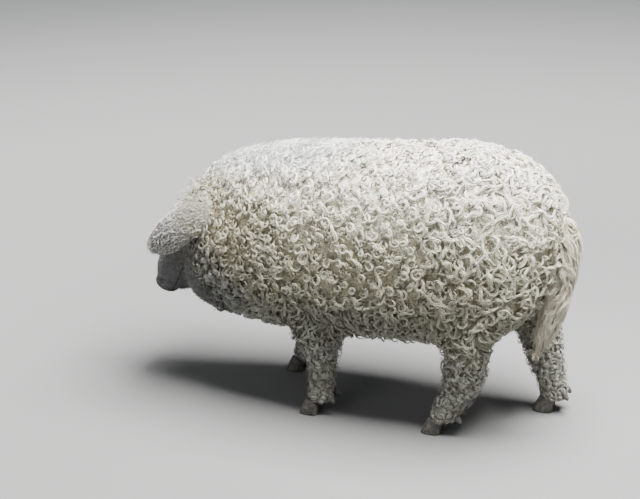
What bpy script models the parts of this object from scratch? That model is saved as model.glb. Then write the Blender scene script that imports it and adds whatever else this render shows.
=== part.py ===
"""A curly-coated pig, life size, standing with its head low as it roots.

Metres, +Z up. The pig faces -X, its left side is towards -Y, and the origin is on the floor
under the middle of its bounding box. Every solid is the outer form of the body with its
fleece on, so the surfaces are where the tips of the coat are.

The flesh is modelled whole: a lofted trunk with its neck, a lofted head and four lofted legs
are fused by a voxel remesh, and thin plates then part the result into named pieces. Ears,
tail, snout disc, eyes and hoofs are made on their own and fitted to that body with a gap.
"""

import math
from dataclasses import dataclass

import bmesh
import bpy
from mathutils import Matrix, Vector

# --- Driving dimensions -----------------------------------------------------------------
GAP = 0.0004              # air between neighbouring pieces
SWELL = 0.0016            # how far the body is grown to cut what stands against it
BODY_RING, BODY_STEPS = 36, 4   # corners round a section of the body, and rings between two named ones
TAIL_RING, TAIL_STEPS = 12, 2
HORN_RING, HORN_STEPS = 10, 1   # claws and dewclaws
FUSE_VOXEL = 0.009        # grain of the remesh that fuses the lofts
FUSE_SMOOTHING = 6        # passes that soften the joins between lofts
BODY_TRIANGLES = 3000     # what the fused body is thinned to

HEAD_PITCH = math.radians(60)         # how far the face points below the horizontal
SNOUT_CENTRE = Vector((-0.594, 0.0, 0.264))
SNOUT_WIDTH, SNOUT_HEIGHT = 0.078, 0.070
SNOUT_THICKNESS = 0.017
NOSTRIL_RADIUS, NOSTRIL_SPACING, NOSTRIL_DEPTH = 0.0062, 0.028, 0.011

EYE_RADIUS = 0.0125
EYE_ALONG, EYE_UP, EYE_OUT = 0.198, 0.036, 0.0635   # in the head's own directions

EAR_LENGTH, EAR_WIDTH, EAR_THICKNESS = 0.262, 0.095, 0.009
EAR_ROOT = Vector((-0.3645, 0.100, 0.5785))   # of the right ear
EAR_ROUNDING = 0.58       # how far along the ear its tip begins to round off

HOOF_LENGTH, HOOF_WIDTH, HOOF_HEIGHT = 0.058, 0.031, 0.046
CLAW_SPLIT = 0.0035       # half the cleft between the two claws of a foot
DEWCLAW_LENGTH, DEWCLAW_RADIUS = 0.024, 0.0090
LEFT, RIGHT = -1, 1       # the sides, as signs of Y

# --- Directions of the lowered head -------------------------------------------------------
FACING = Vector((-math.cos(HEAD_PITCH), 0.0, -math.sin(HEAD_PITCH)))
BROW = Vector((-math.sin(HEAD_PITCH), 0.0, math.cos(HEAD_PITCH)))
SIDE = Vector((0.0, 1.0, 0.0))
UP = Vector((0.0, 0.0, 1.0))
FORWARD = Vector((-1.0, 0.0, 0.0))


@dataclass
class Section:
    """One oval of a loft. It reaches `above` along `up`, `below` against it, and `half_width` to each side."""

    centre: Vector
    above: float
    below: float
    half_width: float
    up: Vector
    square: float = 2.0

    def numbers(self):
        return [*self.centre, self.above, self.below, self.half_width, *self.up, self.square]

    @classmethod
    def from_numbers(cls, n):
        return cls(Vector(n[0:3]), n[3], n[4], n[5], Vector(n[6:9]).normalized(), n[9])

    def points(self, count, side=SIDE):
        """The corners of the superellipse, starting at the top."""
        for i in range(count):
            angle = 2 * math.pi * i / count
            c, s = math.cos(angle), math.sin(angle)
            lift = math.copysign(abs(c) ** (2 / self.square), c)
            out = math.copysign(abs(s) ** (2 / self.square), s)
            reach = self.above if lift > 0 else self.below
            yield self.centre + self.up * (lift * reach) + side * (out * self.half_width)


# --- Mesh helpers ---------------------------------------------------------------------------
def clear_scene():
    for obj in list(bpy.data.objects):
        bpy.data.objects.remove(obj, do_unlink=True)


def new_collection(name, helper=False):
    made = bpy.data.collections.new(name)
    bpy.context.scene.collection.children.link(made)
    made.hide_render = helper
    return made


def new_object(name, bm, collection, turned_out=False):
    """An object of the mesh, its faces turned outwards unless they already are."""
    if not turned_out:
        bmesh.ops.recalc_face_normals(bm, faces=bm.faces)
    mesh = bpy.data.meshes.new(name)
    bm.to_mesh(mesh)
    bm.free()
    obj = bpy.data.objects.new(name, mesh)
    collection.objects.link(obj)
    return obj


def catmull_rom(a, b, c, d, t):
    """The point at t from b to c on the smooth curve through a, b, c and d, for lists of numbers."""
    return [
        0.5 * (2 * q + (r - p) * t + (2 * p - 5 * q + 4 * r - s) * t**2 + (3 * q - p - 3 * r + s) * t**3)
        for p, q, r, s in zip(a, b, c, d)
    ]


def smooth_sections(sections, steps):
    """The named sections with smooth ones between them."""
    rows = [s.numbers() for s in sections]
    rows = [rows[0], *rows, rows[-1]]
    found = []
    for a, b, c, d in zip(rows, rows[1:], rows[2:], rows[3:]):
        found += [Section.from_numbers(catmull_rom(a, b, c, d, i / steps)) for i in range(steps)]
    return [*found, sections[-1]]


def loft(name, sections, collection, count=BODY_RING, steps=BODY_STEPS):
    """A closed skin over the sections, flat at both ends."""
    bm = bmesh.new()
    rings = [[bm.verts.new(p) for p in s.points(count)] for s in smooth_sections(sections, steps)]
    for near, far in zip(rings, rings[1:]):
        for i in range(count):
            j = (i + 1) % count
            bm.faces.new((near[i], near[j], far[j], far[i]))
    bm.faces.new(rings[0])
    bm.faces.new(reversed(rings[-1]))
    return new_object(name, bm, collection)


def apply_modifiers(obj):
    """Bakes the modifiers into the object's mesh."""
    graph = bpy.context.evaluated_depsgraph_get()
    mesh = bpy.data.meshes.new_from_object(obj.evaluated_get(graph))
    obj.modifiers.clear()
    obj.data = mesh


def boolean(obj, cutter, operation="DIFFERENCE"):
    modifier = obj.modifiers.new(operation.lower(), "BOOLEAN")
    modifier.operation = operation
    modifier.solver = "EXACT"
    modifier.object = cutter
    apply_modifiers(obj)


def join(objects, name):
    """One object holding the meshes of all."""
    bm = bmesh.new()
    for obj in objects:
        bm.from_mesh(obj.data)
    collection = objects[0].users_collection[0]
    for obj in objects:
        bpy.data.objects.remove(obj, do_unlink=True)
    return new_object(name, bm, collection)


def plate(name, centre, normal, length, width, collection):
    """A thin square-edged plate: its normal, and its length as near +Z (or +X on a level plate) as it can be."""
    normal = normal.normalized()
    along = (UP - normal * UP.dot(normal)) if abs(normal.z) < 0.9 else Vector((1, 0, 0))
    along.normalize()
    across = normal.cross(along)
    turn = Matrix((along, across, normal)).transposed().to_4x4()
    bm = bmesh.new()
    bmesh.ops.create_cube(bm, size=1.0)
    bm.transform(Matrix.Translation(centre) @ turn @ Matrix.Diagonal((length, width, GAP, 1.0)))
    return new_object(name, bm, collection, turned_out=True)


def on_head(along, up=0.0, out=0.0):
    """The point that far behind the snout's face, towards the brow, and to the right of the pig."""
    return SNOUT_CENTRE - FACING * along + BROW * up + SIDE * out


# --- The lofts that make the body -----------------------------------------------------------
def trunk_and_neck(collection):
    """From the rump to the jowl, as upright sections: x, top, underside, half width, square."""
    outline = (
        (0.544, 0.604, 0.480, 0.040, 2.0),   # root of the tail
        (0.532, 0.634, 0.410, 0.088, 2.0),   # between the hams
        (0.512, 0.662, 0.362, 0.128, 2.0),   # back of the hams
        (0.478, 0.695, 0.318, 0.165, 2.1),   # seat
        (0.425, 0.731, 0.268, 0.196, 2.2),   # hips
        (0.350, 0.748, 0.232, 0.213, 2.3),   # croup
        (0.250, 0.755, 0.214, 0.222, 2.3),   # loin
        (0.100, 0.744, 0.207, 0.228, 2.3),   # belly
        (-0.050, 0.731, 0.206, 0.222, 2.3),  # ribs
        (-0.170, 0.726, 0.204, 0.210, 2.2),  # shoulders
        (-0.260, 0.710, 0.206, 0.194, 2.1),  # base of the neck
        (-0.345, 0.690, 0.213, 0.174, 2.0),  # crest of the neck
        (-0.415, 0.653, 0.226, 0.150, 2.0),  # nape and jowl
        (-0.460, 0.609, 0.238, 0.118, 2.0),  # throat
        (-0.488, 0.556, 0.248, 0.082, 2.0),
        (-0.504, 0.505, 0.266, 0.045, 2.0),  # inside the face
    )
    sections = []
    for x, top, underside, half_width, square in outline:
        widest = underside + 0.46 * (top - underside)
        sections.append(
            Section(Vector((x, 0, widest)), top - widest, widest - underside, half_width, UP, square)
        )
    return loft("trunk", sections, collection)


def head_form(collection):
    """From the snout back to the poll, across the face: distance, brow side, jaw side, half width, square."""
    outline = (
        (0.002, 0.034, 0.034, 0.034, 2.2),   # behind the snout disc
        (0.025, 0.044, 0.058, 0.036, 2.3),   # nostril pad and chin
        (0.060, 0.057, 0.082, 0.042, 2.3),   # muzzle
        (0.105, 0.061, 0.096, 0.053, 2.3),   # bridge of the nose
        (0.150, 0.058, 0.108, 0.067, 2.3),   # below the eyes
        (0.198, 0.062, 0.120, 0.085, 2.3),   # eyes
        (0.245, 0.069, 0.132, 0.101, 2.2),   # brow
        (0.290, 0.070, 0.140, 0.110, 2.1),   # forehead and cheeks
        (0.335, 0.056, 0.140, 0.102, 2.0),   # poll
    )
    sections = [Section(on_head(d), up, down, w, BROW, sq) for d, up, down, w, sq in outline]
    return loft("head", sections, collection)


@dataclass
class Leg:
    """A leg's name and side, and its sections from the floor up: x, y outwards, z, half length, half width."""

    name: str
    side: int
    toe_x: float
    stance: float
    outline: tuple

    def form(self, collection):
        sections = [
            Section(Vector((x, self.side * y, z)), length, length, width, FORWARD, 2.1)
            for x, y, z, length, width in self.outline
        ]
        return loft(self.name, sections, collection)


LEGS = (
    Leg("foreleg_left", LEFT, -0.106, 0.128, (
        (-0.080, 0.128, 0.034, 0.033, 0.033),   # coronet
        (-0.074, 0.128, 0.070, 0.037, 0.037),   # fetlock
        (-0.071, 0.129, 0.115, 0.041, 0.041),   # cannon
        (-0.071, 0.130, 0.165, 0.051, 0.048),   # knee
        (-0.079, 0.129, 0.215, 0.068, 0.057),   # forearm
        (-0.092, 0.124, 0.275, 0.092, 0.068),   # elbow
        (-0.115, 0.112, 0.380, 0.120, 0.078),   # shoulder
    )),
    Leg("foreleg_right", RIGHT, -0.238, 0.112, (
        (-0.212, 0.112, 0.034, 0.033, 0.033),
        (-0.206, 0.112, 0.070, 0.037, 0.037),
        (-0.201, 0.113, 0.115, 0.041, 0.041),
        (-0.197, 0.114, 0.165, 0.051, 0.048),
        (-0.190, 0.115, 0.215, 0.068, 0.057),
        (-0.180, 0.112, 0.275, 0.092, 0.068),
        (-0.160, 0.106, 0.380, 0.120, 0.078),
    )),
    Leg("hindleg_left", LEFT, 0.240, 0.132, (
        (0.267, 0.132, 0.034, 0.034, 0.033),    # coronet
        (0.279, 0.132, 0.070, 0.043, 0.038),    # fetlock
        (0.303, 0.132, 0.110, 0.053, 0.044),    # cannon
        (0.322, 0.132, 0.155, 0.061, 0.050),    # hock
        (0.323, 0.131, 0.210, 0.065, 0.057),    # gaskin
        (0.329, 0.129, 0.265, 0.073, 0.064),    # stifle
        (0.351, 0.123, 0.330, 0.103, 0.076),    # thigh
        (0.369, 0.114, 0.400, 0.132, 0.086),    # ham
        (0.378, 0.104, 0.500, 0.130, 0.082),    # seat
        (0.390, 0.092, 0.590, 0.100, 0.060),    # pin bone
    )),
    Leg("hindleg_right", RIGHT, 0.497, 0.082, (
        (0.523, 0.082, 0.034, 0.034, 0.033),
        (0.518, 0.083, 0.070, 0.041, 0.038),
        (0.507, 0.086, 0.110, 0.050, 0.044),
        (0.489, 0.091, 0.155, 0.059, 0.050),
        (0.473, 0.097, 0.210, 0.064, 0.057),
        (0.456, 0.108, 0.265, 0.073, 0.064),
        (0.430, 0.111, 0.330, 0.096, 0.076),
        (0.405, 0.112, 0.400, 0.118, 0.086),
        (0.390, 0.104, 0.500, 0.124, 0.082),
        (0.390, 0.092, 0.590, 0.100, 0.060),
    )),
)


def fused_body(collection):
    """Trunk, head and legs as one closed skin, with soft joins."""
    forms = [trunk_and_neck(collection), head_form(collection)]
    forms += [leg.form(collection) for leg in LEGS]
    body = join(forms, "body")
    fuse = body.modifiers.new("fuse", "REMESH")
    fuse.mode = "VOXEL"
    fuse.voxel_size = FUSE_VOXEL
    soften = body.modifiers.new("soften", "SMOOTH")
    soften.factor = 0.5
    soften.iterations = FUSE_SMOOTHING
    apply_modifiers(body)
    thin = body.modifiers.new("thin", "DECIMATE")
    thin.ratio = BODY_TRIANGLES / sum(len(p.vertices) - 2 for p in body.data.polygons)
    apply_modifiers(body)
    return body


# --- Parting the body -----------------------------------------------------------------------
LEG_CUT_HEIGHT = {"foreleg_left": 0.186, "foreleg_right": 0.186, "hindleg_left": 0.188, "hindleg_right": 0.205}
FOOT_CUT_HEIGHT = 0.078
SNOUT_CUT = 0.0185        # where the head ends and the snout disc begins
MOUTH_BACK = 0.120        # how far behind the snout the corner of the mouth lies
MOUTH_DROP = 0.032        # the mouth's line, below the middle of the snout


def centre_at(outline, height):
    """The leg's centre (x, y) at that height."""
    for low, high in zip(outline, outline[1:]):
        if low[2] <= height <= high[2]:
            t = (height - low[2]) / (high[2] - low[2])
            return low[0] + t * (high[0] - low[0]), low[1] + t * (high[1] - low[1])
    raise ValueError(f"the leg has no section at {height}")


def parting_plates(collection):
    """Every thin cut through the fused body."""
    made = [
        plate("cut_neck", Vector((-0.255, 0, 0.47)), Vector((1, 0, -0.16)), 1.0, 0.8, collection),
        plate("cut_head", Vector((-0.425, 0, 0.44)), Vector((1, 0, 0.14)), 0.8, 0.6, collection),
        plate("cut_chest", Vector((0.035, 0, 0.47)), Vector((1, 0, 0)), 0.9, 0.8, collection),
        plate("cut_loin", Vector((0.228, 0, 0.54)), Vector((1, 0, 0)), 0.72, 0.8, collection),
        plate("cut_hams", Vector((0.528, 0, 0.50)), SIDE, 0.90, 0.600, collection),
        plate("cut_snout", on_head(SNOUT_CUT), FACING, 0.14, 0.14, collection),
    ]
    for leg in LEGS:
        for label, height in (("leg", LEG_CUT_HEIGHT[leg.name]), ("foot", FOOT_CUT_HEIGHT)):
            x, y = centre_at(leg.outline, height)
            at = Vector((x, leg.side * y, height))
            made.append(plate(f"cut_{leg.name}_{label}", at, UP, 0.19, 0.17, collection))
    return made


def anchors():
    """A point inside each piece that the plates leave, by the piece's name."""
    found = {
        "head": on_head(0.19),
        "offcut": on_head(0.0),
        "neck": Vector((-0.33, 0, 0.45)),
        "chest": Vector((-0.12, 0, 0.45)),
        "barrel": Vector((0.13, 0, 0.46)),
        "ham_left": Vector((0.39, -0.10, 0.48)),
        "ham_right": Vector((0.40, 0.10, 0.48)),
    }
    for leg in LEGS:
        for label, height in (("", 0.5 * (LEG_CUT_HEIGHT[leg.name] + FOOT_CUT_HEIGHT)), ("_foot", 0.055)):
            x, y = centre_at(leg.outline, height)
            found[leg.name + label] = Vector((x, leg.side * y, height))
    return found


def middle(obj):
    points = [v.co for v in obj.data.vertices]
    return sum(points, Vector()) / len(points)


def part_body(body, collection, helpers):
    """Cuts a copy of the body with the plates and names its pieces."""
    whole = body.copy()
    whole.data = body.data.copy()
    collection.objects.link(whole)
    for cutter in parting_plates(helpers):
        boolean(whole, cutter)
    bpy.ops.object.select_all(action="DESELECT")
    whole.select_set(True)
    bpy.context.view_layer.objects.active = whole
    bpy.ops.mesh.separate(type="LOOSE")
    places = anchors()
    pieces = {}
    for piece in list(bpy.context.selected_objects):
        name = min(places, key=lambda n: (places[n] - middle(piece)).length)
        kept = pieces.get(name)
        if kept is None or len(piece.data.vertices) > len(kept.data.vertices):
            pieces[name], piece = piece, kept
        if piece is not None:
            bpy.data.objects.remove(piece, do_unlink=True)
    bpy.data.objects.remove(pieces.pop("offcut"), do_unlink=True)   # the snout disc takes its place
    for name, piece in pieces.items():
        piece.name = name
        piece.data.name = name
    return pieces


def swollen(body, helpers):
    """The body a little grown, which cuts what stands against it."""
    grown = body.copy()
    grown.data = body.data.copy()
    grown.name = "body_and_gap"
    helpers.objects.link(grown)
    swell = grown.modifiers.new("swell", "DISPLACE")
    swell.strength = SWELL
    swell.mid_level = 0.0
    apply_modifiers(grown)
    return grown


# --- Pieces fitted to the body ----------------------------------------------------------------
def mouth_cutter(name, helpers, grow):
    """The wedge between the mouth's line and the throat, which holds the lower jaw."""
    corner = on_head(MOUTH_BACK + grow, grow - MOUTH_DROP)
    corner.x += grow
    front = corner + FACING * 0.25
    foot = Vector((corner.x, 0, front.z - 0.06))
    bm = bmesh.new()
    near, far = ([bm.verts.new(p + SIDE * y) for p in (corner, front, foot)] for y in (-0.15, 0.15))
    bm.faces.new(near)
    bm.faces.new(far)
    for i in range(3):
        j = (i + 1) % 3
        bm.faces.new((near[i], near[j], far[j], far[i]))
    return new_object(name, bm, helpers)


def lower_jaw(pieces, collection, helpers):
    """The jaw is what the wedge holds of the head, and the head loses it."""
    head = pieces["head"]
    jaw = head.copy()
    jaw.data = head.data.copy()
    jaw.name = "lower_jaw"
    collection.objects.link(jaw)
    boolean(jaw, mouth_cutter("jaw_wedge", helpers, 0.0), "INTERSECT")
    keep_largest(jaw)
    boolean(head, mouth_cutter("jaw_wedge_and_gap", helpers, GAP))
    keep_largest(head)
    pieces["lower_jaw"] = jaw


def snout_disc(collection, helpers):
    """The oval pad with its rounded rim and two nostrils."""
    half = SNOUT_THICKNESS / 2
    bm = bmesh.new()
    bmesh.ops.create_cone(bm, cap_ends=True, segments=24, radius1=0.5, radius2=0.5, depth=SNOUT_THICKNESS)
    rim = [e for e in bm.edges if len(e.link_faces) == 2 and abs(e.verts[0].co.z - e.verts[1].co.z) < 1e-6]
    turn = Matrix((BROW, SIDE, BROW.cross(SIDE))).transposed().to_4x4()
    bm.transform(Matrix.Diagonal((SNOUT_HEIGHT, SNOUT_WIDTH, 1.0, 1.0)))
    bmesh.ops.bevel(bm, geom=rim, offset=0.0055, segments=2, affect="EDGES", profile=0.5)
    bm.transform(Matrix.Translation(on_head(SNOUT_CUT - GAP - half)) @ turn)
    disc = new_object("snout_disc", bm, collection)
    for side in (LEFT, RIGHT):
        bm = bmesh.new()
        bmesh.ops.create_cone(
            bm, cap_ends=True, segments=10, radius1=NOSTRIL_RADIUS, radius2=NOSTRIL_RADIUS, depth=2 * NOSTRIL_DEPTH
        )
        face = on_head(SNOUT_CUT - GAP - SNOUT_THICKNESS, 0.003, side * NOSTRIL_SPACING / 2)
        taller = Matrix.Diagonal((1.35, 1.0, 1.0, 1.0))
        bm.transform(Matrix.Translation(face) @ turn @ taller)
        boolean(disc, new_object(f"nostril_{side}", bm, helpers))
    return disc


def eye(side, name, pieces, collection, helpers):
    """An eyeball in a socket of the head."""
    at = on_head(EYE_ALONG, EYE_UP, side * EYE_OUT)
    for radius, label in ((EYE_RADIUS, name), (EYE_RADIUS + GAP, f"socket_{name}")):
        bm = bmesh.new()
        bmesh.ops.create_uvsphere(bm, u_segments=12, v_segments=8, radius=radius)
        bm.transform(Matrix.Translation(at))
        made = new_object(label, bm, collection if label == name else helpers)
    boolean(pieces["head"], made)


EAR_ALONG, EAR_ACROSS = 11, 6   # the grid that a flat ear is bent from


def ear_half_width(t):
    """Half the ear's width at t along it: a narrower root, a broad middle and a rounded tip."""
    widening = 0.80 + 0.20 * math.sin(0.5 * math.pi * min(1.0, t / EAR_ROUNDING))
    past = max(0.0, (t - EAR_ROUNDING) / (1.0 - EAR_ROUNDING))
    return 0.5 * EAR_WIDTH * widening * (1.0 - (0.92 * past) ** 2.4) ** 0.7


def ear(side, name, grown, collection):
    """A broad leaf that droops forward over the eye, hollow towards the cheek."""
    root = Vector((EAR_ROOT.x, side * EAR_ROOT.y, EAR_ROOT.z))
    tip_way = Vector((-0.800, side * 0.145, -0.582)).normalized()
    outward = Vector((-0.10, side * 1.0, 0.28))
    outward = (outward - tip_way * outward.dot(tip_way)).normalized()
    upper_way = tip_way.cross(outward) * side
    bm = bmesh.new()
    bmesh.ops.create_grid(bm, x_segments=EAR_ALONG, y_segments=EAR_ACROSS, size=1.0)
    for v in bm.verts:
        t, s = (v.co.x + 1) / 2, v.co.y
        cup = -0.017 * s * s * (1 - 0.3 * t)
        arch = 0.030 * math.sin(math.pi * t ** 0.7) - 0.022 * t * t
        rise = 0.008 * math.sin(math.pi * t)
        v.co = (
            root
            + tip_way * (EAR_LENGTH * t)
            + upper_way * (s * ear_half_width(t) + rise)
            + outward * (cup + arch + 0.012)
        )
    made = new_object(name, bm, collection)
    wall = made.modifiers.new("wall", "SOLIDIFY")
    wall.thickness = EAR_THICKNESS
    wall.offset = 0.0
    apply_modifiers(made)
    boolean(made, grown)
    keep_largest(made)
    return made


def keep_largest(obj):
    """Drops the bits that a cut left loose."""
    bm = bmesh.new()
    bm.from_mesh(obj.data)
    islands, unseen = [], set(bm.verts)
    while unseen:
        island, front = set(), [unseen.pop()]
        while front:
            v = front.pop()
            island.add(v)
            for e in v.link_edges:
                other = e.other_vert(v)
                if other in unseen:
                    unseen.remove(other)
                    front.append(other)
        islands.append(island)
    largest = max(islands, key=len)
    bmesh.ops.delete(bm, geom=[v for v in bm.verts if v not in largest], context="VERTS")
    bm.to_mesh(obj.data)
    bm.free()


TAIL_LINE = (
    # x, y, z, radius across, radius fore and aft
    (0.500, 0.000, 0.592, 0.024, 0.024),   # under the rump's fleece
    (0.532, -0.002, 0.566, 0.031, 0.029),  # root
    (0.547, -0.004, 0.520, 0.037, 0.034),
    (0.546, -0.008, 0.455, 0.039, 0.036),
    (0.538, -0.012, 0.395, 0.037, 0.034),
    (0.527, -0.016, 0.340, 0.035, 0.032),
    (0.514, -0.022, 0.292, 0.030, 0.027),
    (0.499, -0.030, 0.252, 0.020, 0.018),
    (0.487, -0.036, 0.228, 0.007, 0.007),  # tip of the tuft
)
TUFT_CUT = Vector((0.526, -0.016, 0.335))


def tail(grown, collection, helpers):
    """The hanging tail and the tuft at its end."""
    sections = []
    for i, (x, y, z, across, deep) in enumerate(TAIL_LINE):
        before, after = TAIL_LINE[max(i - 1, 0)], TAIL_LINE[min(i + 1, len(TAIL_LINE) - 1)]
        down = Vector((after[0] - before[0], 0, after[2] - before[2])).normalized()
        back = SIDE.cross(down)
        sections.append(Section(Vector((x, y, z)), deep, deep, across, back))
    whole = loft("tail", sections, collection, TAIL_RING, TAIL_STEPS)
    boolean(whole, grown)
    keep_largest(whole)
    tuft = whole.copy()
    tuft.data = whole.data.copy()
    tuft.name = "tail_tuft"
    collection.objects.link(tuft)
    for obj, way in ((whole, -1), (tuft, 1)):
        bm = bmesh.new()
        bmesh.ops.create_cube(bm, size=0.4)
        bm.transform(Matrix.Translation(TUFT_CUT + UP * (way * (0.2 - GAP / 2))))
        boolean(obj, new_object(f"cut_{obj.name}", bm, helpers))
    return whole, tuft


def claw(name, toe, side, collection, grown):
    """One half of a cloven hoof, with a flat sole and a sloping front."""
    outline = (
        # height, shift back, half length, half width
        (0.0, 0.000, 0.500, 0.46),
        (0.08, 0.020, 0.500, 0.50),
        (0.50, 0.110, 0.430, 0.48),
        (1.0, 0.230, 0.360, 0.44),
    )
    inner = toe.y + side * (CLAW_SPLIT + HOOF_WIDTH / 2)
    sections = [
        Section(
            Vector((toe.x + HOOF_LENGTH * (0.5 + shift), inner, height * HOOF_HEIGHT)),
            HOOF_LENGTH * half, HOOF_LENGTH * half * 0.9, HOOF_WIDTH * wide, FORWARD, 2.4,
        )
        for height, shift, half, wide in outline
    ]
    made = loft(name, sections, collection, HORN_RING, HORN_STEPS)
    boolean(made, grown)
    keep_largest(made)
    return made


def dewclaw(name, at, side, collection, grown):
    """A small horn cone behind the foot, clear of the floor."""
    way = Vector((0.62, side * 0.20, -0.76)).normalized()
    across = way.cross(SIDE).normalized()
    sections = [
        Section(at + way * (DEWCLAW_LENGTH * t), DEWCLAW_RADIUS * r, DEWCLAW_RADIUS * r, DEWCLAW_RADIUS * r, across)
        for t, r in ((-0.4, 0.85), (0.2, 1.0), (0.65, 0.85), (1.0, 0.35))
    ]
    made = loft(name, sections, collection, HORN_RING, HORN_STEPS)
    boolean(made, grown)
    keep_largest(made)
    return made


def hoofs(leg, grown, collection):
    """The two claws and two dewclaws of a leg."""
    toe = Vector((leg.toe_x - HOOF_LENGTH / 2, leg.side * leg.stance, 0))
    made = []
    for label, side in (("inner", -leg.side), ("outer", leg.side)):
        made.append(claw(f"hoof_{leg.name}_{label}", toe, side, collection, grown))
        x, y = centre_at(leg.outline, 0.062)
        at = Vector((x + 0.031, leg.side * y + side * 0.019, 0.062))
        made.append(dewclaw(f"dewclaw_{leg.name}_{label}", at, side, collection, grown))
    return made


# --- Colours ------------------------------------------------------------------------------------
def material(name, colour, roughness):
    made = bpy.data.materials.new(name)
    made.use_nodes = True
    shader = made.node_tree.nodes["Principled BSDF"]
    shader.inputs["Base Color"].default_value = (*colour, 1.0)
    shader.inputs["Roughness"].default_value = roughness
    shader.inputs["Metallic"].default_value = 0.0
    made.diffuse_color = (*colour, 1.0)
    return made


def dress(objects):
    """Gives each piece its finish by the words in its name."""
    finishes = {
        "fleece": material("fleece", (0.62, 0.56, 0.43), 0.9),
        "legs": material("muddy_fleece", (0.33, 0.28, 0.20), 0.95),
        "face": material("face", (0.10, 0.095, 0.09), 0.8),
        "ear": material("ear", (0.34, 0.32, 0.29), 0.85),
        "snout": material("snout", (0.07, 0.06, 0.06), 0.5),
        "eye": material("eye", (0.02, 0.015, 0.01), 0.1),
        "hoof": material("hoof", (0.06, 0.05, 0.045), 0.55),
    }
    words = (
        ("hoof", "hoof"), ("dewclaw", "hoof"), ("eye", "eye"), ("ear_", "ear"), ("snout", "snout"),
        ("jaw", "face"), ("head", "face"), ("leg", "legs"),
    )
    for obj in objects:
        finish = next((f for word, f in words if word in obj.name), "fleece")
        obj.data.materials.clear()
        obj.data.materials.append(finishes[finish])
        obj.data.shade_smooth()
        obj.data.set_sharp_from_angle(angle=math.radians(50))


def stand_on_origin(objects):
    """Moves every mesh so that the origin is on the floor under the middle of the whole."""
    corners = [v.co for obj in objects for v in obj.data.vertices]
    low = Vector([min(c[k] for c in corners) for k in range(3)])
    high = Vector([max(c[k] for c in corners) for k in range(3)])
    shift = Matrix.Translation((-(low.x + high.x) / 2, -(low.y + high.y) / 2, -low.z))
    for obj in objects:
        obj.data.transform(shift)


def main():
    clear_scene()
    pig = new_collection("pig")
    helpers = new_collection("helpers", helper=True)
    body = fused_body(helpers)
    grown = swollen(body, helpers)
    pieces = part_body(body, pig, helpers)
    lower_jaw(pieces, pig, helpers)
    snout_disc(pig, helpers)
    for side, name in ((LEFT, "left"), (RIGHT, "right")):
        eye(side, f"eye_{name}", pieces, pig, helpers)
        ear(side, f"ear_{name}", grown, pig)
    tail(grown, pig, helpers)
    for leg in LEGS:
        hoofs(leg, grown, pig)
    for helper in helpers.objects:
        helper.hide_render = True
        helper.display_type = "WIRE"
    dress(pig.objects)
    stand_on_origin(pig.objects)


main()
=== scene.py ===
"""Curly-coated pig that stands with its head lowered: skin, coat, eyes, claws and studio."""

import itertools
import logging
import math
from collections import defaultdict
from collections.abc import Callable
from dataclasses import dataclass, field, replace
from enum import Enum

import bmesh
import bpy
import numpy as np
from mathutils import Matrix, Vector
from mathutils.bvhtree import BVHTree


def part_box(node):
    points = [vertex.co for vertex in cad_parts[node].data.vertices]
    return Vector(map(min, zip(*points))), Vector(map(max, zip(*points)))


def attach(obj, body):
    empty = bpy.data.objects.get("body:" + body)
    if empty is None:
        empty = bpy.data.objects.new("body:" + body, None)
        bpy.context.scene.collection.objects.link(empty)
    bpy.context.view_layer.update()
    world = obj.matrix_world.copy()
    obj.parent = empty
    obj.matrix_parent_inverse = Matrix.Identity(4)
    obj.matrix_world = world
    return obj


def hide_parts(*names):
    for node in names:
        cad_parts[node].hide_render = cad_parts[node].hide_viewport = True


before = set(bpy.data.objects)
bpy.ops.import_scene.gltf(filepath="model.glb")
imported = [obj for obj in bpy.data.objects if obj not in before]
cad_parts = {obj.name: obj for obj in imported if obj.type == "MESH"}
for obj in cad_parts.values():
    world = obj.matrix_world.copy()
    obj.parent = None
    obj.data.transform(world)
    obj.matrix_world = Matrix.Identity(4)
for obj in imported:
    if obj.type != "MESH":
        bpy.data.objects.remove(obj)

Array = np.ndarray
Socket = bpy.types.NodeSocket
Material = bpy.types.Material
NodeTree = bpy.types.NodeTree
Rgb = tuple[int, int, int]
Rgba = tuple[float, float, float, float]
Span = tuple[float, float]

LOG = logging.getLogger("pig")
BODY = "root"
SIDES = {"left": -1.0, "right": 1.0}
HEAD_PITCH = math.radians(60.0)
FACING = np.array([-math.cos(HEAD_PITCH), 0.0, -math.sin(HEAD_PITCH)])
BROW = np.array([-math.sin(HEAD_PITCH), 0.0, math.cos(HEAD_PITCH)])
ACROSS = np.array([0.0, 1.0, 0.0])
SNOUT_HALF_THICKNESS = 0.0085
EYE_RADIUS = 0.0125
LID_REACH, LID_RISE, LID_DROP = 0.0106, 0.0072, 0.0060  # half the opening's length, and its heights
LID_POWER = 1.6        # rounder corners of the opening at a higher power
PATCH = 0.003          # side of a tuft's patch on the unwrap
STRAND_SIDES, STRAND_FLATNESS = 3, 0.6
PIECE_LIMIT = 180_000  # triangles in one piece of coat
MIX_FIRST, MIX_SECOND, MIX_RESULT = 6, 7, 2  # a Mix node's sockets for colours
WHITE = (1.0, 1.0, 1.0, 1.0)


class Part(Enum):
    """Parts of the body that wear different coats."""

    TRUNK = 0
    HEAD = 1
    JAW = 2
    SNOUT = 3
    EAR = 4
    LEG = 5
    FOOT = 6
    TAIL = 7


HEAD = (Part.HEAD, Part.JAW)
MUZZLE = (*HEAD, Part.SNOUT)


def on(parts: Array, *members: Part) -> Array:
    """Returns where places lie on one of some parts of the body."""
    return np.isin(parts, [member.value for member in members])


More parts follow.
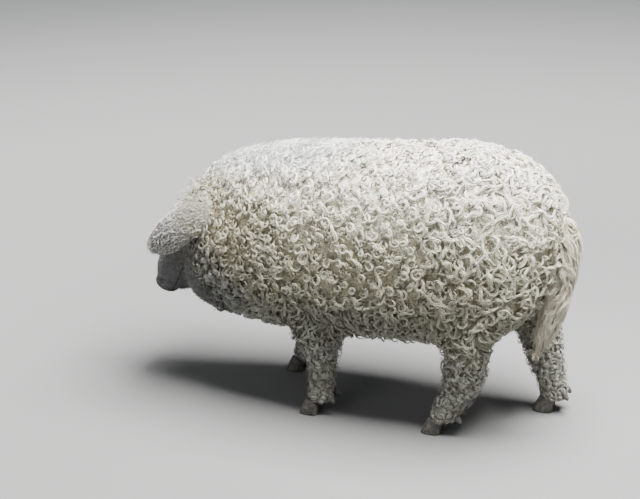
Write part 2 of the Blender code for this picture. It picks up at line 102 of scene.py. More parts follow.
def part_of(node: str) -> Part | None:
    """Says which part of the body a node of flesh belongs to.

    Args:
        node: Name of a node of the frame.

    Returns:
        The part, or None where the node isn't flesh.
    """
    if node.startswith(("eye", "hoof", "dewclaw")):
        return None
    if node.endswith("_foot"):
        return Part.FOOT
    starts = {"ear_": Part.EAR, "tail": Part.TAIL, "head": Part.HEAD, "lower_jaw": Part.JAW,
              "snout": Part.SNOUT, "foreleg": Part.LEG, "hindleg": Part.LEG}
    return next((part for start, part in starts.items() if node.startswith(start)), Part.TRUNK)


def smooth(value: Array, low: float, high: float) -> Array:
    """Returns a soft step from 0 at low to 1 at high."""
    t = np.clip((np.asarray(value, float) - low) / (high - low), 0.0, 1.0)
    return t * t * (3.0 - 2.0 * t)


def fade(value: Array, low: float, high: float) -> Array:
    """Returns a soft step from 1 at low to 0 at high."""
    return 1.0 - smooth(value, low, high)


def hump(value: Array, middle: float, width: float) -> Array:
    """Returns a soft hump that is 1 at its middle."""
    return np.exp(-(((value - middle) / width) ** 2))


def unit(vectors: Array) -> Array:
    """Returns the vectors at length one."""
    return vectors / np.maximum(np.linalg.norm(vectors, axis=-1, keepdims=True), 1e-9)


def centre_of(node: str) -> Array:
    """Returns the middle of a node's box."""
    low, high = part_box(node)
    return (np.array(low) + np.array(high)) / 2.0


def activate(obj: bpy.types.Object) -> None:
    """Selects one object alone and makes it active."""
    bpy.ops.object.select_all(action="DESELECT")
    obj.select_set(True)
    bpy.context.view_layer.objects.active = obj


def shape_arrays(mesh: bpy.types.Mesh) -> tuple[Array, Array, Array]:
    """Reads a mesh as arrays.

    Args:
        mesh: The mesh to read.

    Returns:
        Its points, its edges and the point numbers of its triangles.
    """
    points = np.zeros(len(mesh.vertices) * 3)
    mesh.vertices.foreach_get("co", points)
    edges = np.zeros(len(mesh.edges) * 2, np.int64)
    mesh.edges.foreach_get("vertices", edges)
    mesh.calc_loop_triangles()
    triangles = np.zeros(len(mesh.loop_triangles) * 3, np.int64)
    mesh.loop_triangles.foreach_get("vertices", triangles)
    return points.reshape(-1, 3), edges.reshape(-1, 2), triangles.reshape(-1, 3)


def set_points(mesh: bpy.types.Mesh, points: Array) -> None:
    """Moves the points of a mesh."""
    mesh.vertices.foreach_set("co", points.astype(np.float32).ravel())


def set_mark(mesh: bpy.types.Mesh, name: str, values: Array) -> None:
    """Gives the points of a mesh a number or a vector each."""
    kind, key = ("FLOAT", "value") if values.ndim == 1 else ("FLOAT_VECTOR", "vector")
    mesh.attributes.new(name, kind, "POINT").data.foreach_set(key, values.astype(np.float32).ravel())


def fuse_voxels(obj: bpy.types.Object, size: float) -> None:
    """Turns an object into one closed form of small faces."""
    activate(obj)
    remesh = obj.modifiers.new("fuse", "REMESH")
    remesh.mode = "VOXEL"
    remesh.voxel_size = size
    bpy.ops.object.modifier_apply(modifier="fuse")


def point_normals(points: Array, triangles: Array) -> Array:
    """Works out the normals at the points of a mesh.

    Args:
        points: Places of the points.
        triangles: Three point numbers for each triangle.

    Returns:
        One unit normal for each point.
    """
    a, b, c = (points[triangles[:, k]] for k in range(3))
    face = np.cross(b - a, c - a)
    total = np.zeros_like(points)
    for k in range(3):
        for axis in range(3):
            total[:, axis] += np.bincount(triangles[:, k], face[:, axis], len(points))
    return unit(total)


def relax(values: Array, edges: Array, rounds: int, share: Array | float = 0.5) -> Array:
    """Averages values with their neighbours along the edges.

    Args:
        values: One row for each point.
        edges: Two point numbers for each edge.
        rounds: How many times to average.
        share: How far a value moves to its neighbours' mean, for each point or for all.

    Returns:
        The averaged values.
    """
    flat = values.reshape(len(values), -1).astype(float)
    ends = np.concatenate([edges[:, 0], edges[:, 1]])
    others = np.concatenate([edges[:, 1], edges[:, 0]])
    count = np.maximum(np.bincount(ends, minlength=len(flat)), 1)
    pull = share[:, None] if isinstance(share, Array) else share
    for _ in range(rounds):
        mean = np.stack([np.bincount(ends, column[others], len(flat)) / count for column in flat.T], 1)
        flat = flat + (mean - flat) * pull
    return flat.reshape(values.shape)


def polish(points: Array, edges: Array, rounds: int, share: Array) -> Array:
    """Smooths small bumps away without shrinking the form.

    Args:
        points: Places of the points.
        edges: Two point numbers for each edge.
        rounds: How many times to smooth.
        share: How strongly each point takes part.

    Returns:
        The smoothed places.
    """
    for _ in range(rounds):
        points = relax(points, edges, 1, share)
        points = relax(points, edges, 1, -1.05 * share)
    return points


def ripple(points: Array, size: float, seed: int) -> Array:
    """Returns a soft random field in about -1 to 1 whose patches have the given size."""
    rng = np.random.default_rng(seed)
    waves = unit(rng.normal(size=(6, 3))) * (math.tau / size) * rng.uniform(0.6, 1.3, (6, 1))
    return np.sin(points @ waves.T + rng.uniform(0.0, math.tau, 6)).sum(-1) / 2.6


# ---------------------------------------------------------------- finishes


def linear(red: int, green: int, blue: int) -> Rgba:
    """Returns a colour given in 0 to 255 as the linear colour that nodes take."""
    parts = np.array([red, green, blue]) / 255.0
    values = np.where(parts > 10 / 255.0, ((parts + 0.055) / 1.055) ** 2.4, parts / 12.92)
    return (*values.tolist(), 1.0)


class Tree:
    """Short ways to add nodes to one node tree and join them."""

    def __init__(self, tree: NodeTree) -> None:
        """Keeps the tree that the nodes go into."""
        self.tree = tree

    def node(self, kind: str, **settings: object) -> bpy.types.Node:
        """Adds a node of a kind and sets its properties."""
        made = self.tree.nodes.new(kind)
        for name, value in settings.items():
            setattr(made, name, value)
        return made

    def feed(self, socket: Socket, value: object) -> None:
        """Joins a socket to another, or sets its value."""
        if isinstance(value, Socket):
            self.tree.links.new(value, socket)
        else:
            socket.default_value = value

    def calc(self, operation: str, *values: object) -> Socket:
        """Returns the result of a Math node."""
        made = self.node("ShaderNodeMath", operation=operation)
        for socket, value in zip(made.inputs, values):
            self.feed(socket, value)
        return made.outputs[0]

    def times(self, first: object, second: object) -> Socket:
        """Returns a product."""
        return self.calc("MULTIPLY", first, second)

    def plus(self, first: object, second: object) -> Socket:
        """Returns a sum."""
        return self.calc("ADD", first, second)

    def most(self, first: object, second: object) -> Socket:
        """Returns the larger of two values."""
        return self.calc("MAXIMUM", first, second)

    def centred(self, value: Socket, reach: float) -> Socket:
        """Returns a noise as a shift up and down by half a reach."""
        return self.times(self.calc("SUBTRACT", value, 0.5), reach)

    def mark(self, name: str, output: str = "Fac") -> Socket:
        """Returns one of the piece's own attributes."""
        return self.node("ShaderNodeAttribute", attribute_name=name).outputs[output]

    def dot(self, place: Socket, way: Array) -> Socket:
        """Returns how far a place lies along a direction."""
        made = self.node("ShaderNodeVectorMath", operation="DOT_PRODUCT")
        self.feed(made.inputs[0], place)
        made.inputs[1].default_value = tuple(way)
        return made.outputs["Value"]

    def axes(self, place: Socket) -> tuple[Socket, ...]:
        """Returns the three coordinates of a place."""
        split = self.node("ShaderNodeSeparateXYZ")
        self.feed(split.inputs[0], place)
        return tuple(split.outputs)

    def markings(self, group: NodeTree, place: Socket) -> tuple[Socket, Socket]:
        """Returns the marking colour and the mud at a place."""
        made = self.node("ShaderNodeGroup", node_tree=group)
        self.feed(made.inputs["Position"], place)
        return made.outputs["Colour"], made.outputs["Mud"]

    def surface(self, colour: Socket, values: dict[str, object],
                relief: tuple[Socket, float, float] | None = None) -> None:
        """Ends a material with its shader.

        Args:
            colour: Base colour.
            values: The shader's other inputs by name.
            relief: Height, strength and depth of the bump, or None for a smooth surface.
        """
        shader = self.node("ShaderNodeBsdfPrincipled")
        for name, value in {"Base Color": colour, **values}.items():
            self.feed(shader.inputs[name], value)
        if relief:
            bump = self.node("ShaderNodeBump")
            for name, value in zip(("Height", "Strength", "Distance"), relief):
                self.feed(bump.inputs[name], value)
            self.feed(shader.inputs["Normal"], bump.outputs["Normal"])
        self.feed(self.node("ShaderNodeOutputMaterial").inputs["Surface"], shader.outputs[0])

    def step(self, value: Socket, low: float, high: float) -> Socket:
        """Returns a soft step of a value from 0 at low to 1 at high."""
        made = self.node("ShaderNodeMapRange", interpolation_type="SMOOTHSTEP")
        turned = low > high
        self.feed(made.inputs["Value"], value)
        made.inputs["From Min"].default_value = min(low, high)
        made.inputs["From Max"].default_value = max(low, high)
        made.inputs["To Min"].default_value = 1.0 if turned else 0.0
        made.inputs["To Max"].default_value = 0.0 if turned else 1.0
        return made.outputs["Result"]

    def blend(self, factor: object, first: object, second: object, mode: str = "MIX") -> Socket:
        """Returns the mix of two colours."""
        made = self.node("ShaderNodeMix", data_type="RGBA", blend_type=mode)
        self.feed(made.inputs["Factor"], factor)
        self.feed(made.inputs[MIX_FIRST], first)
        self.feed(made.inputs[MIX_SECOND], second)
        return made.outputs[MIX_RESULT]

    def noise(self, place: Socket, scale: float, detail: float = 2.0,
              rough: float = 0.5) -> Socket:
        """Returns the factor of a Noise node at a place."""
        made = self.node("ShaderNodeTexNoise")
        self.feed(made.inputs["Vector"], place)
        made.inputs["Scale"].default_value = scale
        made.inputs["Detail"].default_value = detail
        made.inputs["Roughness"].default_value = rough
        return made.outputs["Fac"]


@dataclass(frozen=True)
class CoatColours:
    """Colours of the fleece and of the dirt in it, with painted shade towards the chin and a painted
    highlight on the bridge.
    """

    cream: Rgb = (212, 209, 186)
    ivory: Rgb = (246, 244, 235)
    tan: Rgb = (200, 193, 164)
    clay: Rgb = (146, 150, 144)
    silver: Rgb = (236, 240, 242)
    leg: Rgb = (168, 169, 160)
    face: Rgb = (146, 149, 150)
    bridge: Rgb = (176, 182, 188)
    chin: Rgb = (96, 98, 97)
    poll: Rgb = (146, 126, 96)
    cheek: Rgb = (160, 162, 152)


@dataclass(frozen=True)
class Borders:
    """Stretches over which each marking fades in, from where it starts to where it is full."""

    ivory_height: Span = (0.50, 0.74)
    stain_height: Span = (0.70, 0.45)
    neck_run: Span = (-0.12, -0.34)        # along the body
    neck_height: Span = (0.68, 0.56)
    crest_side: Span = (0.15, 0.07)        # from the middle plane
    crest_height: Span = (0.60, 0.68)
    crest_run: Span = (0.05, -0.08)
    clay_height: Span = (0.42, 0.28)
    clay_run: Span = (0.30, 0.15)
    throat_run: Span = (-0.20, -0.36)
    throat_height: Span = (0.48, 0.38)
    leg_height: Span = (0.26, 0.20)
    dust_height: Span = (0.68, 0.45)
    face_run: Span = (-0.30, -0.36)
    face_back: Span = (-0.31, -0.23)       # along the head, from the snout
    poll_back: Span = (-0.14, -0.20)
    face_rise: Span = (-0.045, 0.015)      # up towards the brow, from the snout
    bridge_rise: Span = (0.02, 0.045)
    poll_rise: Span = (-0.01, 0.04)


def shifted(span: Span, by: float) -> Span:
    """Returns a stretch moved along."""
    return span[0] + by, span[1] + by


def markings_group(colours: CoatColours, borders: Borders) -> NodeTree:
    """Builds the node group that says what colour the pig has at a place, for skin and coat alike.

    Args:
        colours: The colours of the coat.
        borders: Where they meet.

    Returns:
        A group with a Position input and Colour and Mud outputs.
    """
    group = bpy.data.node_groups.new("coat_markings", "ShaderNodeTree")
    group.interface.new_socket("Position", in_out="INPUT", socket_type="NodeSocketVector")
    group.interface.new_socket("Colour", in_out="OUTPUT", socket_type="NodeSocketColor")
    group.interface.new_socket("Mud", in_out="OUTPUT", socket_type="NodeSocketFloat")
    t = Tree(group)
    place = t.node("NodeGroupInput").outputs["Position"]
    x, y, z = t.axes(place)
    patch = t.noise(place, 26.0, 2.0)
    drift = t.centred(t.noise(place, 9.0, 3.0), 0.16)
    high, far = t.plus(z, drift), t.plus(x, drift)
    at = {name: linear(*value) for name, value in vars(colours).items()}
    # Paler towards the top: the back's paler wool, with painted light from above.
    colour = t.blend(t.step(high, *borders.ivory_height), at["cream"], at["ivory"])
    stain = t.times(t.step(patch, 0.50, 0.72), t.step(high, *borders.stain_height))
    colour = t.blend(t.times(stain, 0.75), colour, at["tan"])
    neck = t.times(t.step(far, *borders.neck_run), t.step(high, *borders.neck_height))
    colour = t.blend(t.times(neck, 0.75), colour, at["tan"])
    side = t.calc("ABSOLUTE", y)
    crest = t.times(t.step(side, *borders.crest_side), t.step(z, *borders.crest_height))
    crest = t.times(crest, t.step(x, *borders.crest_run))
    colour = t.blend(t.times(crest, 0.8), colour, at["silver"])
    forward = t.times(t.step(x, *borders.clay_run), 0.35)
    low = t.times(t.step(high, *borders.clay_height), t.plus(0.40, forward))
    throat = t.times(t.step(far, *borders.throat_run), t.step(high, *borders.throat_height))
    leg = t.step(high, *borders.leg_height)
    for share, name in ((low, "clay"), (throat, "clay"), (leg, "leg")):
        colour = t.blend(share, colour, at[name])
    nose, reach = t.dot(place, FACING), float(snout_centre() @ FACING)
    face = t.step(t.plus(nose, t.centred(patch, 0.10)), *shifted(borders.face_back, reach))
    face = t.times(face, t.step(x, *borders.face_run))
    lit, level = t.plus(t.dot(place, BROW), t.centred(patch, 0.03)), float(snout_centre() @ BROW)
    # Painted shade darkens the lower face towards the chin, and a painted highlight lightens the bridge, as
    # the light falls from above.
    tone = t.blend(t.step(lit, *shifted(borders.face_rise, level)), at["chin"], at["face"])
    tone = t.blend(t.step(lit, *shifted(borders.bridge_rise, level)), tone, at["bridge"])
    behind = t.blend(t.step(lit, *shifted(borders.poll_rise, level)), at["cheek"], at["poll"])
    tone = t.blend(t.step(nose, *shifted(borders.poll_back, reach)), tone, behind)
    colour = t.blend(face, colour, tone)
    mud = t.most(t.most(low, leg), t.most(throat, face))
    mud = t.most(mud, t.times(t.step(high, *borders.dust_height), 0.55))
    out = t.node("NodeGroupOutput")
    t.feed(out.inputs["Colour"], colour)
    t.feed(out.inputs["Mud"], mud)
    return group


def snout_centre() -> Array:
    """Returns the middle of the snout's front face."""
    return centre_of("snout_disc") + FACING * SNOUT_HALF_THICKNESS


@dataclass(frozen=True)
class Finish:
    """A named material."""

    name: str

    def start(self) -> tuple[Material, Tree, Socket]:
        """Starts the material.

        Returns:
            The material, its empty tree and the place in the frame.
        """
        made = bpy.data.materials.new(self.name)
        made.use_nodes = True
        made.node_tree.nodes.clear()
        t = Tree(made.node_tree)
        return made, t, t.node("ShaderNodeTexCoord").outputs["Object"]


@dataclass(frozen=True)
class Wool(Finish):
    """Finish of hair: marking colours, darker at the root with painted shade, deeper where muddy, and
    streaked along each strand with painted shade between the fibres.
    """

    # How light the hair is kept at its root: painted shade down in the fleece.
    root: float = 0.34
    streak: float = 0.42
    dull: float = 0.66
    tone: Rgb | None = None
    tone_share: float = 0.0
    dirt: float = 0.55
    crust: float = 0.0
    shadow: Rgba = (0.145, 0.135, 0.110, 1.0)
    speck: Rgba = (0.085, 0.078, 0.066, 1.0)
    grit: Rgba = (0.10, 0.095, 0.08, 1.0)
    roughness: float = 0.72
    gloss: float = 0.28
    sheen: float = 0.25
    relief: Span = (0.8, 0.0010)

    def material(self, markings: NodeTree) -> Material:
        """Builds the material.

        Args:
            markings: The group of marking colours.

        Returns:
            The finished material.
        """
        made, t, place = self.start()
        colour, mud = t.markings(markings, place)
        if self.tone:
            colour = t.blend(self.tone_share, colour, linear(*self.tone))
        dull = (self.dull, self.dull * 0.98, self.dull * 0.91, 1.0)
        # Each tube's random tone and painted shade, from its mark, pull the colour towards the dull end.
        tone_and_shade = t.blend(t.step(t.mark("tint_and_shade"), 0.0, 1.0), dull, WHITE)
        colour = t.blend(1.0, colour, tone_and_shade, "MULTIPLY")
        # Painted shade: the hair darkens towards its root, as the shade down in the fleece, and darker
        # still where muddy, as dirt.
        clean = (self.root * 1.7, self.root * 1.68, self.root * 1.60, 1.0)
        soiled = (self.root, self.root * 0.99, self.root * 0.94, 1.0)
        depth = t.blend(mud, clean, soiled)
        depth = t.blend(t.step(t.mark("along"), 0.0, 0.45), depth, WHITE)
        colour = t.blend(1.0, colour, depth, "MULTIPLY")
        lines = t.noise(t.mark("grain", "Vector"), 1.3, 4.0, 0.72)
        # Painted shade: dark streaks between the fibres along each strand.
        dark = t.blend(t.times(t.step(lines, 0.55, 0.35), self.streak), colour, self.shadow)
        specks = t.step(t.noise(place, 210.0, 2.0, 0.7), 0.50, 0.64)
        amount = t.times(t.times(specks, mud), self.dirt)
        final = t.blend(amount, dark, self.speck)
        height = lines
        if self.crust:
            grit = t.noise(place, 160.0, 4.0, 0.75)
            height = t.plus(lines, t.times(grit, 2.5 * self.crust))
            caked = t.times(t.step(grit, 0.60, 0.42), 0.55 * self.crust)
            final = t.blend(caked, final, self.grit)
        values = {"Roughness": self.roughness, "Specular IOR Level": self.gloss, "Sheen Weight": self.sheen}
        t.surface(final, values, (height, *self.relief))
        return made


@dataclass(frozen=True)
class Hide(Finish):
    """Finish of the bare skin: marking colours, with painted shade between the locks, in the nostrils and
    along the mouth, with pores and creases.
    """

    name: str = "hide"
    shaded: Rgba = (0.26, 0.245, 0.21, 1.0)
    soft: Rgba = (0.50, 0.48, 0.43, 1.0)
    bright: Rgba = (0.85, 0.83, 0.78, 1.0)
    parting_shade: Rgba = (0.20, 0.18, 0.15, 1.0)
    dark_skin: Rgb = (40, 39, 39)
    pale_skin: Rgb = (74, 72, 71)
    pit: Rgb = (22, 20, 20)
    relief: Span = (0.7, 0.0014)

    def material(self, markings: NodeTree) -> Material:
        """Builds the material.

        Args:
            markings: The group of marking colours.

        Returns:
            The finished material.
        """
        made, t, place = self.start()
        marking, mud = t.markings(markings, place)
        bare = t.mark("bare")
        curls = t.step(t.noise(place, 170.0, 3.0, 0.7), 0.36, 0.64)
        gaps = t.step(t.noise(place, 95.0, 2.0, 0.6), 0.50, 0.62)
        # Painted shade: the skin under the coat is coloured as shadowed wool, darker where muddy, with
        # painted shade in the partings between the curls.
        soiled = t.blend(curls, self.shaded, self.soft)
        clean = t.blend(curls, self.soft, self.bright)
        wool = t.blend(mud, clean, soiled)
        wool = t.blend(t.times(gaps, 0.5), wool, self.parting_shade)
        wool = t.blend(1.0, marking, wool, "MULTIPLY")
        mottle = t.noise(place, 60.0, 4.0, 0.65)
        skin = t.blend(t.step(mottle, 0.35, 0.65), linear(*self.dark_skin), linear(*self.pale_skin))
        # The dark mark: the lids' dark skin, and painted shade in the nostrils and the mouth's groove, in
        # the pit colour.
        colour = t.blend(t.times(t.mark("dark"), 0.8), t.blend(bare, wool, skin), linear(*self.pit))
        fibres = t.noise(place, 420.0, 3.0, 0.7)
        woolly = t.times(t.plus(curls, t.times(gaps, -2.0)), t.calc("SUBTRACT", 1.0, bare))
        rough = t.calc("SUBTRACT", 0.85, t.times(bare, 0.3))
        t.surface(colour, {"Roughness": rough}, (t.plus(fibres, woolly), *self.relief))
        return made


@dataclass(frozen=True)
class Horn(Finish):
    """Finish of claws: dull black horn with growth rings, paler and muddy at the ground."""

    name: str = "claw_horn"
    dark: Rgb = (40, 38, 37)
    pale: Rgb = (78, 75, 71)
    mud: Rgb = (100, 97, 88)
    ring_pace: float = 1900.0  # turn of the rings' wave in a metre
    relief: Span = (0.5, 0.0008)

    def material(self) -> Material:
        """Builds and returns the material."""
        made, t, place = self.start()
        z = t.axes(place)[2]
        wander = t.noise(place, 40.0, 2.0)
        rings = t.calc("SINE", t.times(t.plus(z, t.times(wander, 0.012)), self.ring_pace))
        fine = t.noise(place, 300.0, 3.0, 0.7)
        colour = t.blend(fine, linear(*self.dark), linear(*self.pale))
        mud = t.times(t.step(t.noise(place, 70.0, 4.0, 0.7), 0.44, 0.60), t.step(z, 0.10, 0.01))
        colour = t.blend(mud, colour, linear(*self.mud))
        height = t.plus(t.times(rings, 0.10), t.plus(fine, mud))
        t.surface(colour, {"Roughness": t.plus(0.42, t.times(mud, 0.45))}, (height, *self.relief))
        return made


@dataclass(frozen=True)
class WetEye(Finish):
    """Finish of the eyeball: round dark pupil, brown iris and a thin dull white round them."""

    name: str = "wet_eye"
    pupil: Rgb = (6, 5, 5)
    iris_dark: Rgb = (30, 20, 13)
    iris_pale: Rgb = (68, 46, 29)
    iris_rim: Rgb = (30, 20, 14)
    white: Rgb = (58, 47, 41)

    def material(self) -> Material:
        """Builds and returns the material."""
        made, t, place = self.start()
        ring = t.mark("ring")
        rays = t.noise(place, 900.0, 3.0, 0.7)
        iris = t.blend(rays, linear(*self.iris_dark), linear(*self.iris_pale))
        colour = t.blend(t.step(ring, 0.20, 0.25), linear(*self.pupil), iris)
        colour = t.blend(t.step(ring, 0.50, 0.56), colour, linear(*self.iris_rim))
        colour = t.blend(t.step(ring, 0.62, 0.72), colour, linear(*self.white))
        t.surface(colour, {"Roughness": 0.08, "Coat Weight": 1.0, "Coat Roughness": 0.02})
        return made


@dataclass(frozen=True)
class Paper(Finish):
    """Finish of the studio floor: dull paper that grows paler with the distance, painted light where the
    lamps' light falls off.
    """

    name: str = "studio_paper"
    middle: tuple[float, float, float] = (0.6, 0.0, 0.0)
    reach: Span = (0.9, 6.5)
    near: Rgba = (0.14, 0.139, 0.137, 1.0)
    far: Rgba = (0.82, 0.815, 0.80, 1.0)

    def material(self) -> Material:
        """Builds and returns the material."""
        made, t, place = self.start()
        away = t.node("ShaderNodeVectorMath", operation="DISTANCE")
        t.feed(away.inputs[0], place)
        away.inputs[1].default_value = self.middle
        # Painted light: the floor is paler far away, where the lamps light it less.
        shade = t.step(away.outputs["Value"], *self.reach)
        t.surface(t.blend(shade, self.near, self.far), {"Roughness": 0.95})
        return made


# ---------------------------------------------------------------- body


def along_head(points: Array) -> tuple[Array, Array, Array]:
    """Places points by the head's own directions.

    Args:
        points: Places in the frame.

    Returns:
        Distance back from the snout, up towards the brow and out to the right.
    """
    away = points - snout_centre()
    return -(away @ FACING), away @ BROW, away[..., 1]


def ear_run(side: str) -> Array:
    """Returns the direction from an ear's root to its tip."""
    low, high = (np.array(corner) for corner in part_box(f"ear_{side}"))
    points = np.array([v.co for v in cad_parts[f"ear_{side}"].data.vertices])
    _, _, axes = np.linalg.svd(points - (low + high) / 2.0, full_matrices=False)
    return axes[0] if axes[0][2] < 0 else -axes[0]


def eye_gaze(sign: float) -> Array:
    """Returns the direction that the eye of one side looks in."""
    return unit(ACROSS * sign * 0.80 + FACING * 0.42 + BROW * 0.36)


def eye_centre(sign: float) -> Array:
    """Returns the middle of the eye's node on one side."""
    return centre_of("eye_left" if sign < 0 else "eye_right")


def eye_axes(sign: float) -> tuple[Array, Array, Array]:
    """Returns an eye's gaze, the direction of its back corner and the direction of its upper lid."""
    gaze = eye_gaze(sign)
    length = unit(-FACING - gaze * (-FACING @ gaze))
    return gaze, length, np.cross(gaze, length) * sign


def lid_ring(a: Array, b: Array) -> Array:
    """Measures how far a place is from the middle of the lids' opening, whose edge is at 1.

    Args:
        a: Distance towards the back corner.
        b: Distance towards the upper lid.

    Returns:
        The distance, counted in sizes of the opening.
    """
    high = np.where(b > 0, LID_RISE, LID_DROP)
    return (np.abs(a / LID_REACH) ** LID_POWER + np.abs(b / high) ** LID_POWER) ** (1.0 / LID_POWER)


@dataclass
class Skin:
    """One skin over the whole body, the coat's depth inside the nodes of flesh."""

    voxel: float = 0.0040
    coarse_share: float = 0.09
    overlap: float = 0.0006
    trunk_depth: float = 0.019
    poll_depth: float = 0.018
    face_depth: float = 0.0025
    snout_depth: float = 0.0006
    ear_depth: float = 0.0018
    leg_depth: float = 0.011
    foot_depth: float = 0.006
    claw_depth: float = 0.0008
    tail_depth: float = 0.013
    tip_depth: float = 0.0028
    socket_reach: float = 0.045
    socket_floor: float = 0.024
    eye_bulge: float = 0.0008
    lid_thickness: float = 0.0016
    lid_sink: float = 0.0016
    lid_cover: float = 0.0011
    crease_depth: float = 0.0016
    pouch_height: float = 0.0007
    nostril_radius: float = 0.0072
    nostril_reach: float = 0.0150
    nostril_depth: float = 0.012
    nostril_lip: float = 0.0011
    snout_dish: float = 0.0016
    rim_height: float = 0.0013
    groove_depth: float = 0.0016
    fold_height: float = 0.00042
    fold_step: float = 0.0135
    mouth_depth: float = 0.0055
    lip_height: float = 0.0010
    eyes: dict[float, Array] = field(default_factory=dict)
    obj: bpy.types.Object = field(init=False)
    points: Array = field(init=False)
    edges: Array = field(init=False)
    triangles: Array = field(init=False)
    normals: Array = field(init=False)
    parts: Array = field(init=False)
    depth: Array = field(init=False)
    # Marks the lids' own dark skin, and painted shade in the nostrils and the mouth's groove.
    dark: Array = field(init=False)
    tree: BVHTree = field(init=False)

    def flesh(self) -> dict[str, Part]:
        """Returns the nodes of flesh with their parts of the body."""
        return {name: part_of(name) for name in sorted(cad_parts) if part_of(name) is not None}

    def fuse(self) -> bpy.types.Object:
        """Joins copies of the nodes of flesh into one closed form.

        Returns:
            The form as a new object.
        """
        form = bmesh.new()
        for name in [*self.flesh(), *(f"eye_{side}" for side in SIDES)]:
            form.from_mesh(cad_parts[name].data)
        bmesh.ops.remove_doubles(form, verts=form.verts, dist=1e-6)
        form.normal_update()
        for vert in form.verts:
            vert.co += vert.normal * self.overlap
        mesh = bpy.data.meshes.new("skin")
        form.to_mesh(mesh)
        form.free()
        made = bpy.data.objects.new("skin", mesh)
        bpy.context.scene.collection.objects.link(made)
        fuse_voxels(made, self.voxel)
        self.thin(made)
        return made

    def thin(self, obj: bpy.types.Object) -> None:
        """Takes points away where the long coat hides the skin.

        Args:
            obj: The fused form.
        """
        points, _, _ = shape_arrays(obj.data)
        back, _, _ = along_head(points)
        covered = smooth(points[:, 0], -0.37, -0.33) * smooth(points[:, 2], 0.055, 0.075)
        covered = np.maximum(covered, smooth(back, 0.28, 0.32) * (points[:, 2] > 0.60))
        group = obj.vertex_groups.new(name="covered")
        for level in np.unique(np.round(covered, 1)):
            rows = np.flatnonzero(np.round(covered, 1) == level)
            if level > 0:
                group.add(rows.tolist(), float(level), "REPLACE")
        less = obj.modifiers.new("thin", "DECIMATE")
        less.ratio = 1.0 - float(covered.mean()) * (1.0 - self.coarse_share)
        less.vertex_group = "covered"
        less.use_collapse_triangulate = True
        bpy.ops.object.modifier_apply(modifier="thin")
        obj.vertex_groups.clear()

    def refine(self, obj: bpy.types.Object) -> None:
        """Drops loose bits inside the form and adds points on the muzzle and round the eyes.

        Args:
            obj: The fused form.
        """
        form = bmesh.new()
        form.from_mesh(obj.data)
        seen: set[bmesh.types.BMVert] = set()
        largest: set[bmesh.types.BMVert] = set()
        for start in form.verts:
            if start in seen:
                continue
            island, queue = {start}, [start]
            while queue:
                for edge in queue.pop().link_edges:
                    for vert in edge.verts:
                        if vert not in island:
                            island.add(vert)
                            queue.append(vert)
            seen |= island
            if len(island) > len(largest):
                largest = island
        bmesh.ops.delete(form, geom=[v for v in form.verts if v not in largest], context="VERTS")
        eyes = [Vector(centre_of(f"eye_{side}")) for side in SIDES]
        nose, facing = Vector(snout_centre()), Vector(FACING)

        def divide(rule: Callable[[Vector], bool]) -> None:
            """Divides the faces whose middles meet a rule."""
            chosen = {edge for face in form.faces if rule(face.calc_center_median()) for edge in face.edges}
            bmesh.ops.subdivide_edges(form, edges=list(chosen), cuts=1, use_grid_fill=True)

        divide(lambda c: -(c - nose).dot(facing) < 0.14 and c.x < nose.x + 0.22)
        divide(lambda c: -(c - nose).dot(facing) < 0.014)
        for radius in (0.031, 0.024, 0.018):
            divide(lambda c: min((c - eye).length for eye in eyes) < radius)
        form.to_mesh(obj.data)
        form.free()

    def label(self) -> None:
        """Finds the part of the body under each point of the skin."""
        corners: list[tuple[float, float, float]] = []
        faces: list[tuple[int, ...]] = []
        parts: list[int] = []
        for name, part in self.flesh().items():
            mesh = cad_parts[name].data
            start = len(corners)
            corners.extend(tuple(v.co) for v in mesh.vertices)
            faces.extend(tuple(start + i for i in p.vertices) for p in mesh.polygons)
            parts.extend(part.value for _ in mesh.polygons)
        tree = BVHTree.FromPolygons(corners, faces)
        self.parts = np.array([parts[tree.find_nearest(p)[2]] for p in self.points.tolist()])

    def coat_depth(self) -> Array:
        """Returns how deep the coat is over each point, in metres."""
        back, _, _ = along_head(self.points)
        z = self.points[:, 2]
        head = self.face_depth + (self.poll_depth - self.face_depth) * smooth(back, 0.15, 0.30)
        foot = self.claw_depth + (self.foot_depth - self.claw_depth) * smooth(z, 0.045, 0.085)
        tail = self.tip_depth + (self.tail_depth - self.tip_depth) * smooth(z, 0.22, 0.46)
        table = np.zeros(len(z))
        depths = {Part.TRUNK: self.trunk_depth, Part.HEAD: head, Part.JAW: head,
                  Part.SNOUT: self.snout_depth, Part.EAR: self.ear_depth, Part.LEG: self.leg_depth,
                  Part.FOOT: foot, Part.TAIL: tail}
        for part, depth in depths.items():
            table = np.where(on(self.parts, part), depth, table)
        soft = relax(table, self.edges, 70)
        thin = on(self.parts, Part.EAR, Part.SNOUT, Part.TAIL)
        limit = relax(np.maximum(table * 1.15, 0.0008), self.edges, 8)
        return np.where(thin, np.minimum(soft, table), np.minimum(soft, limit))

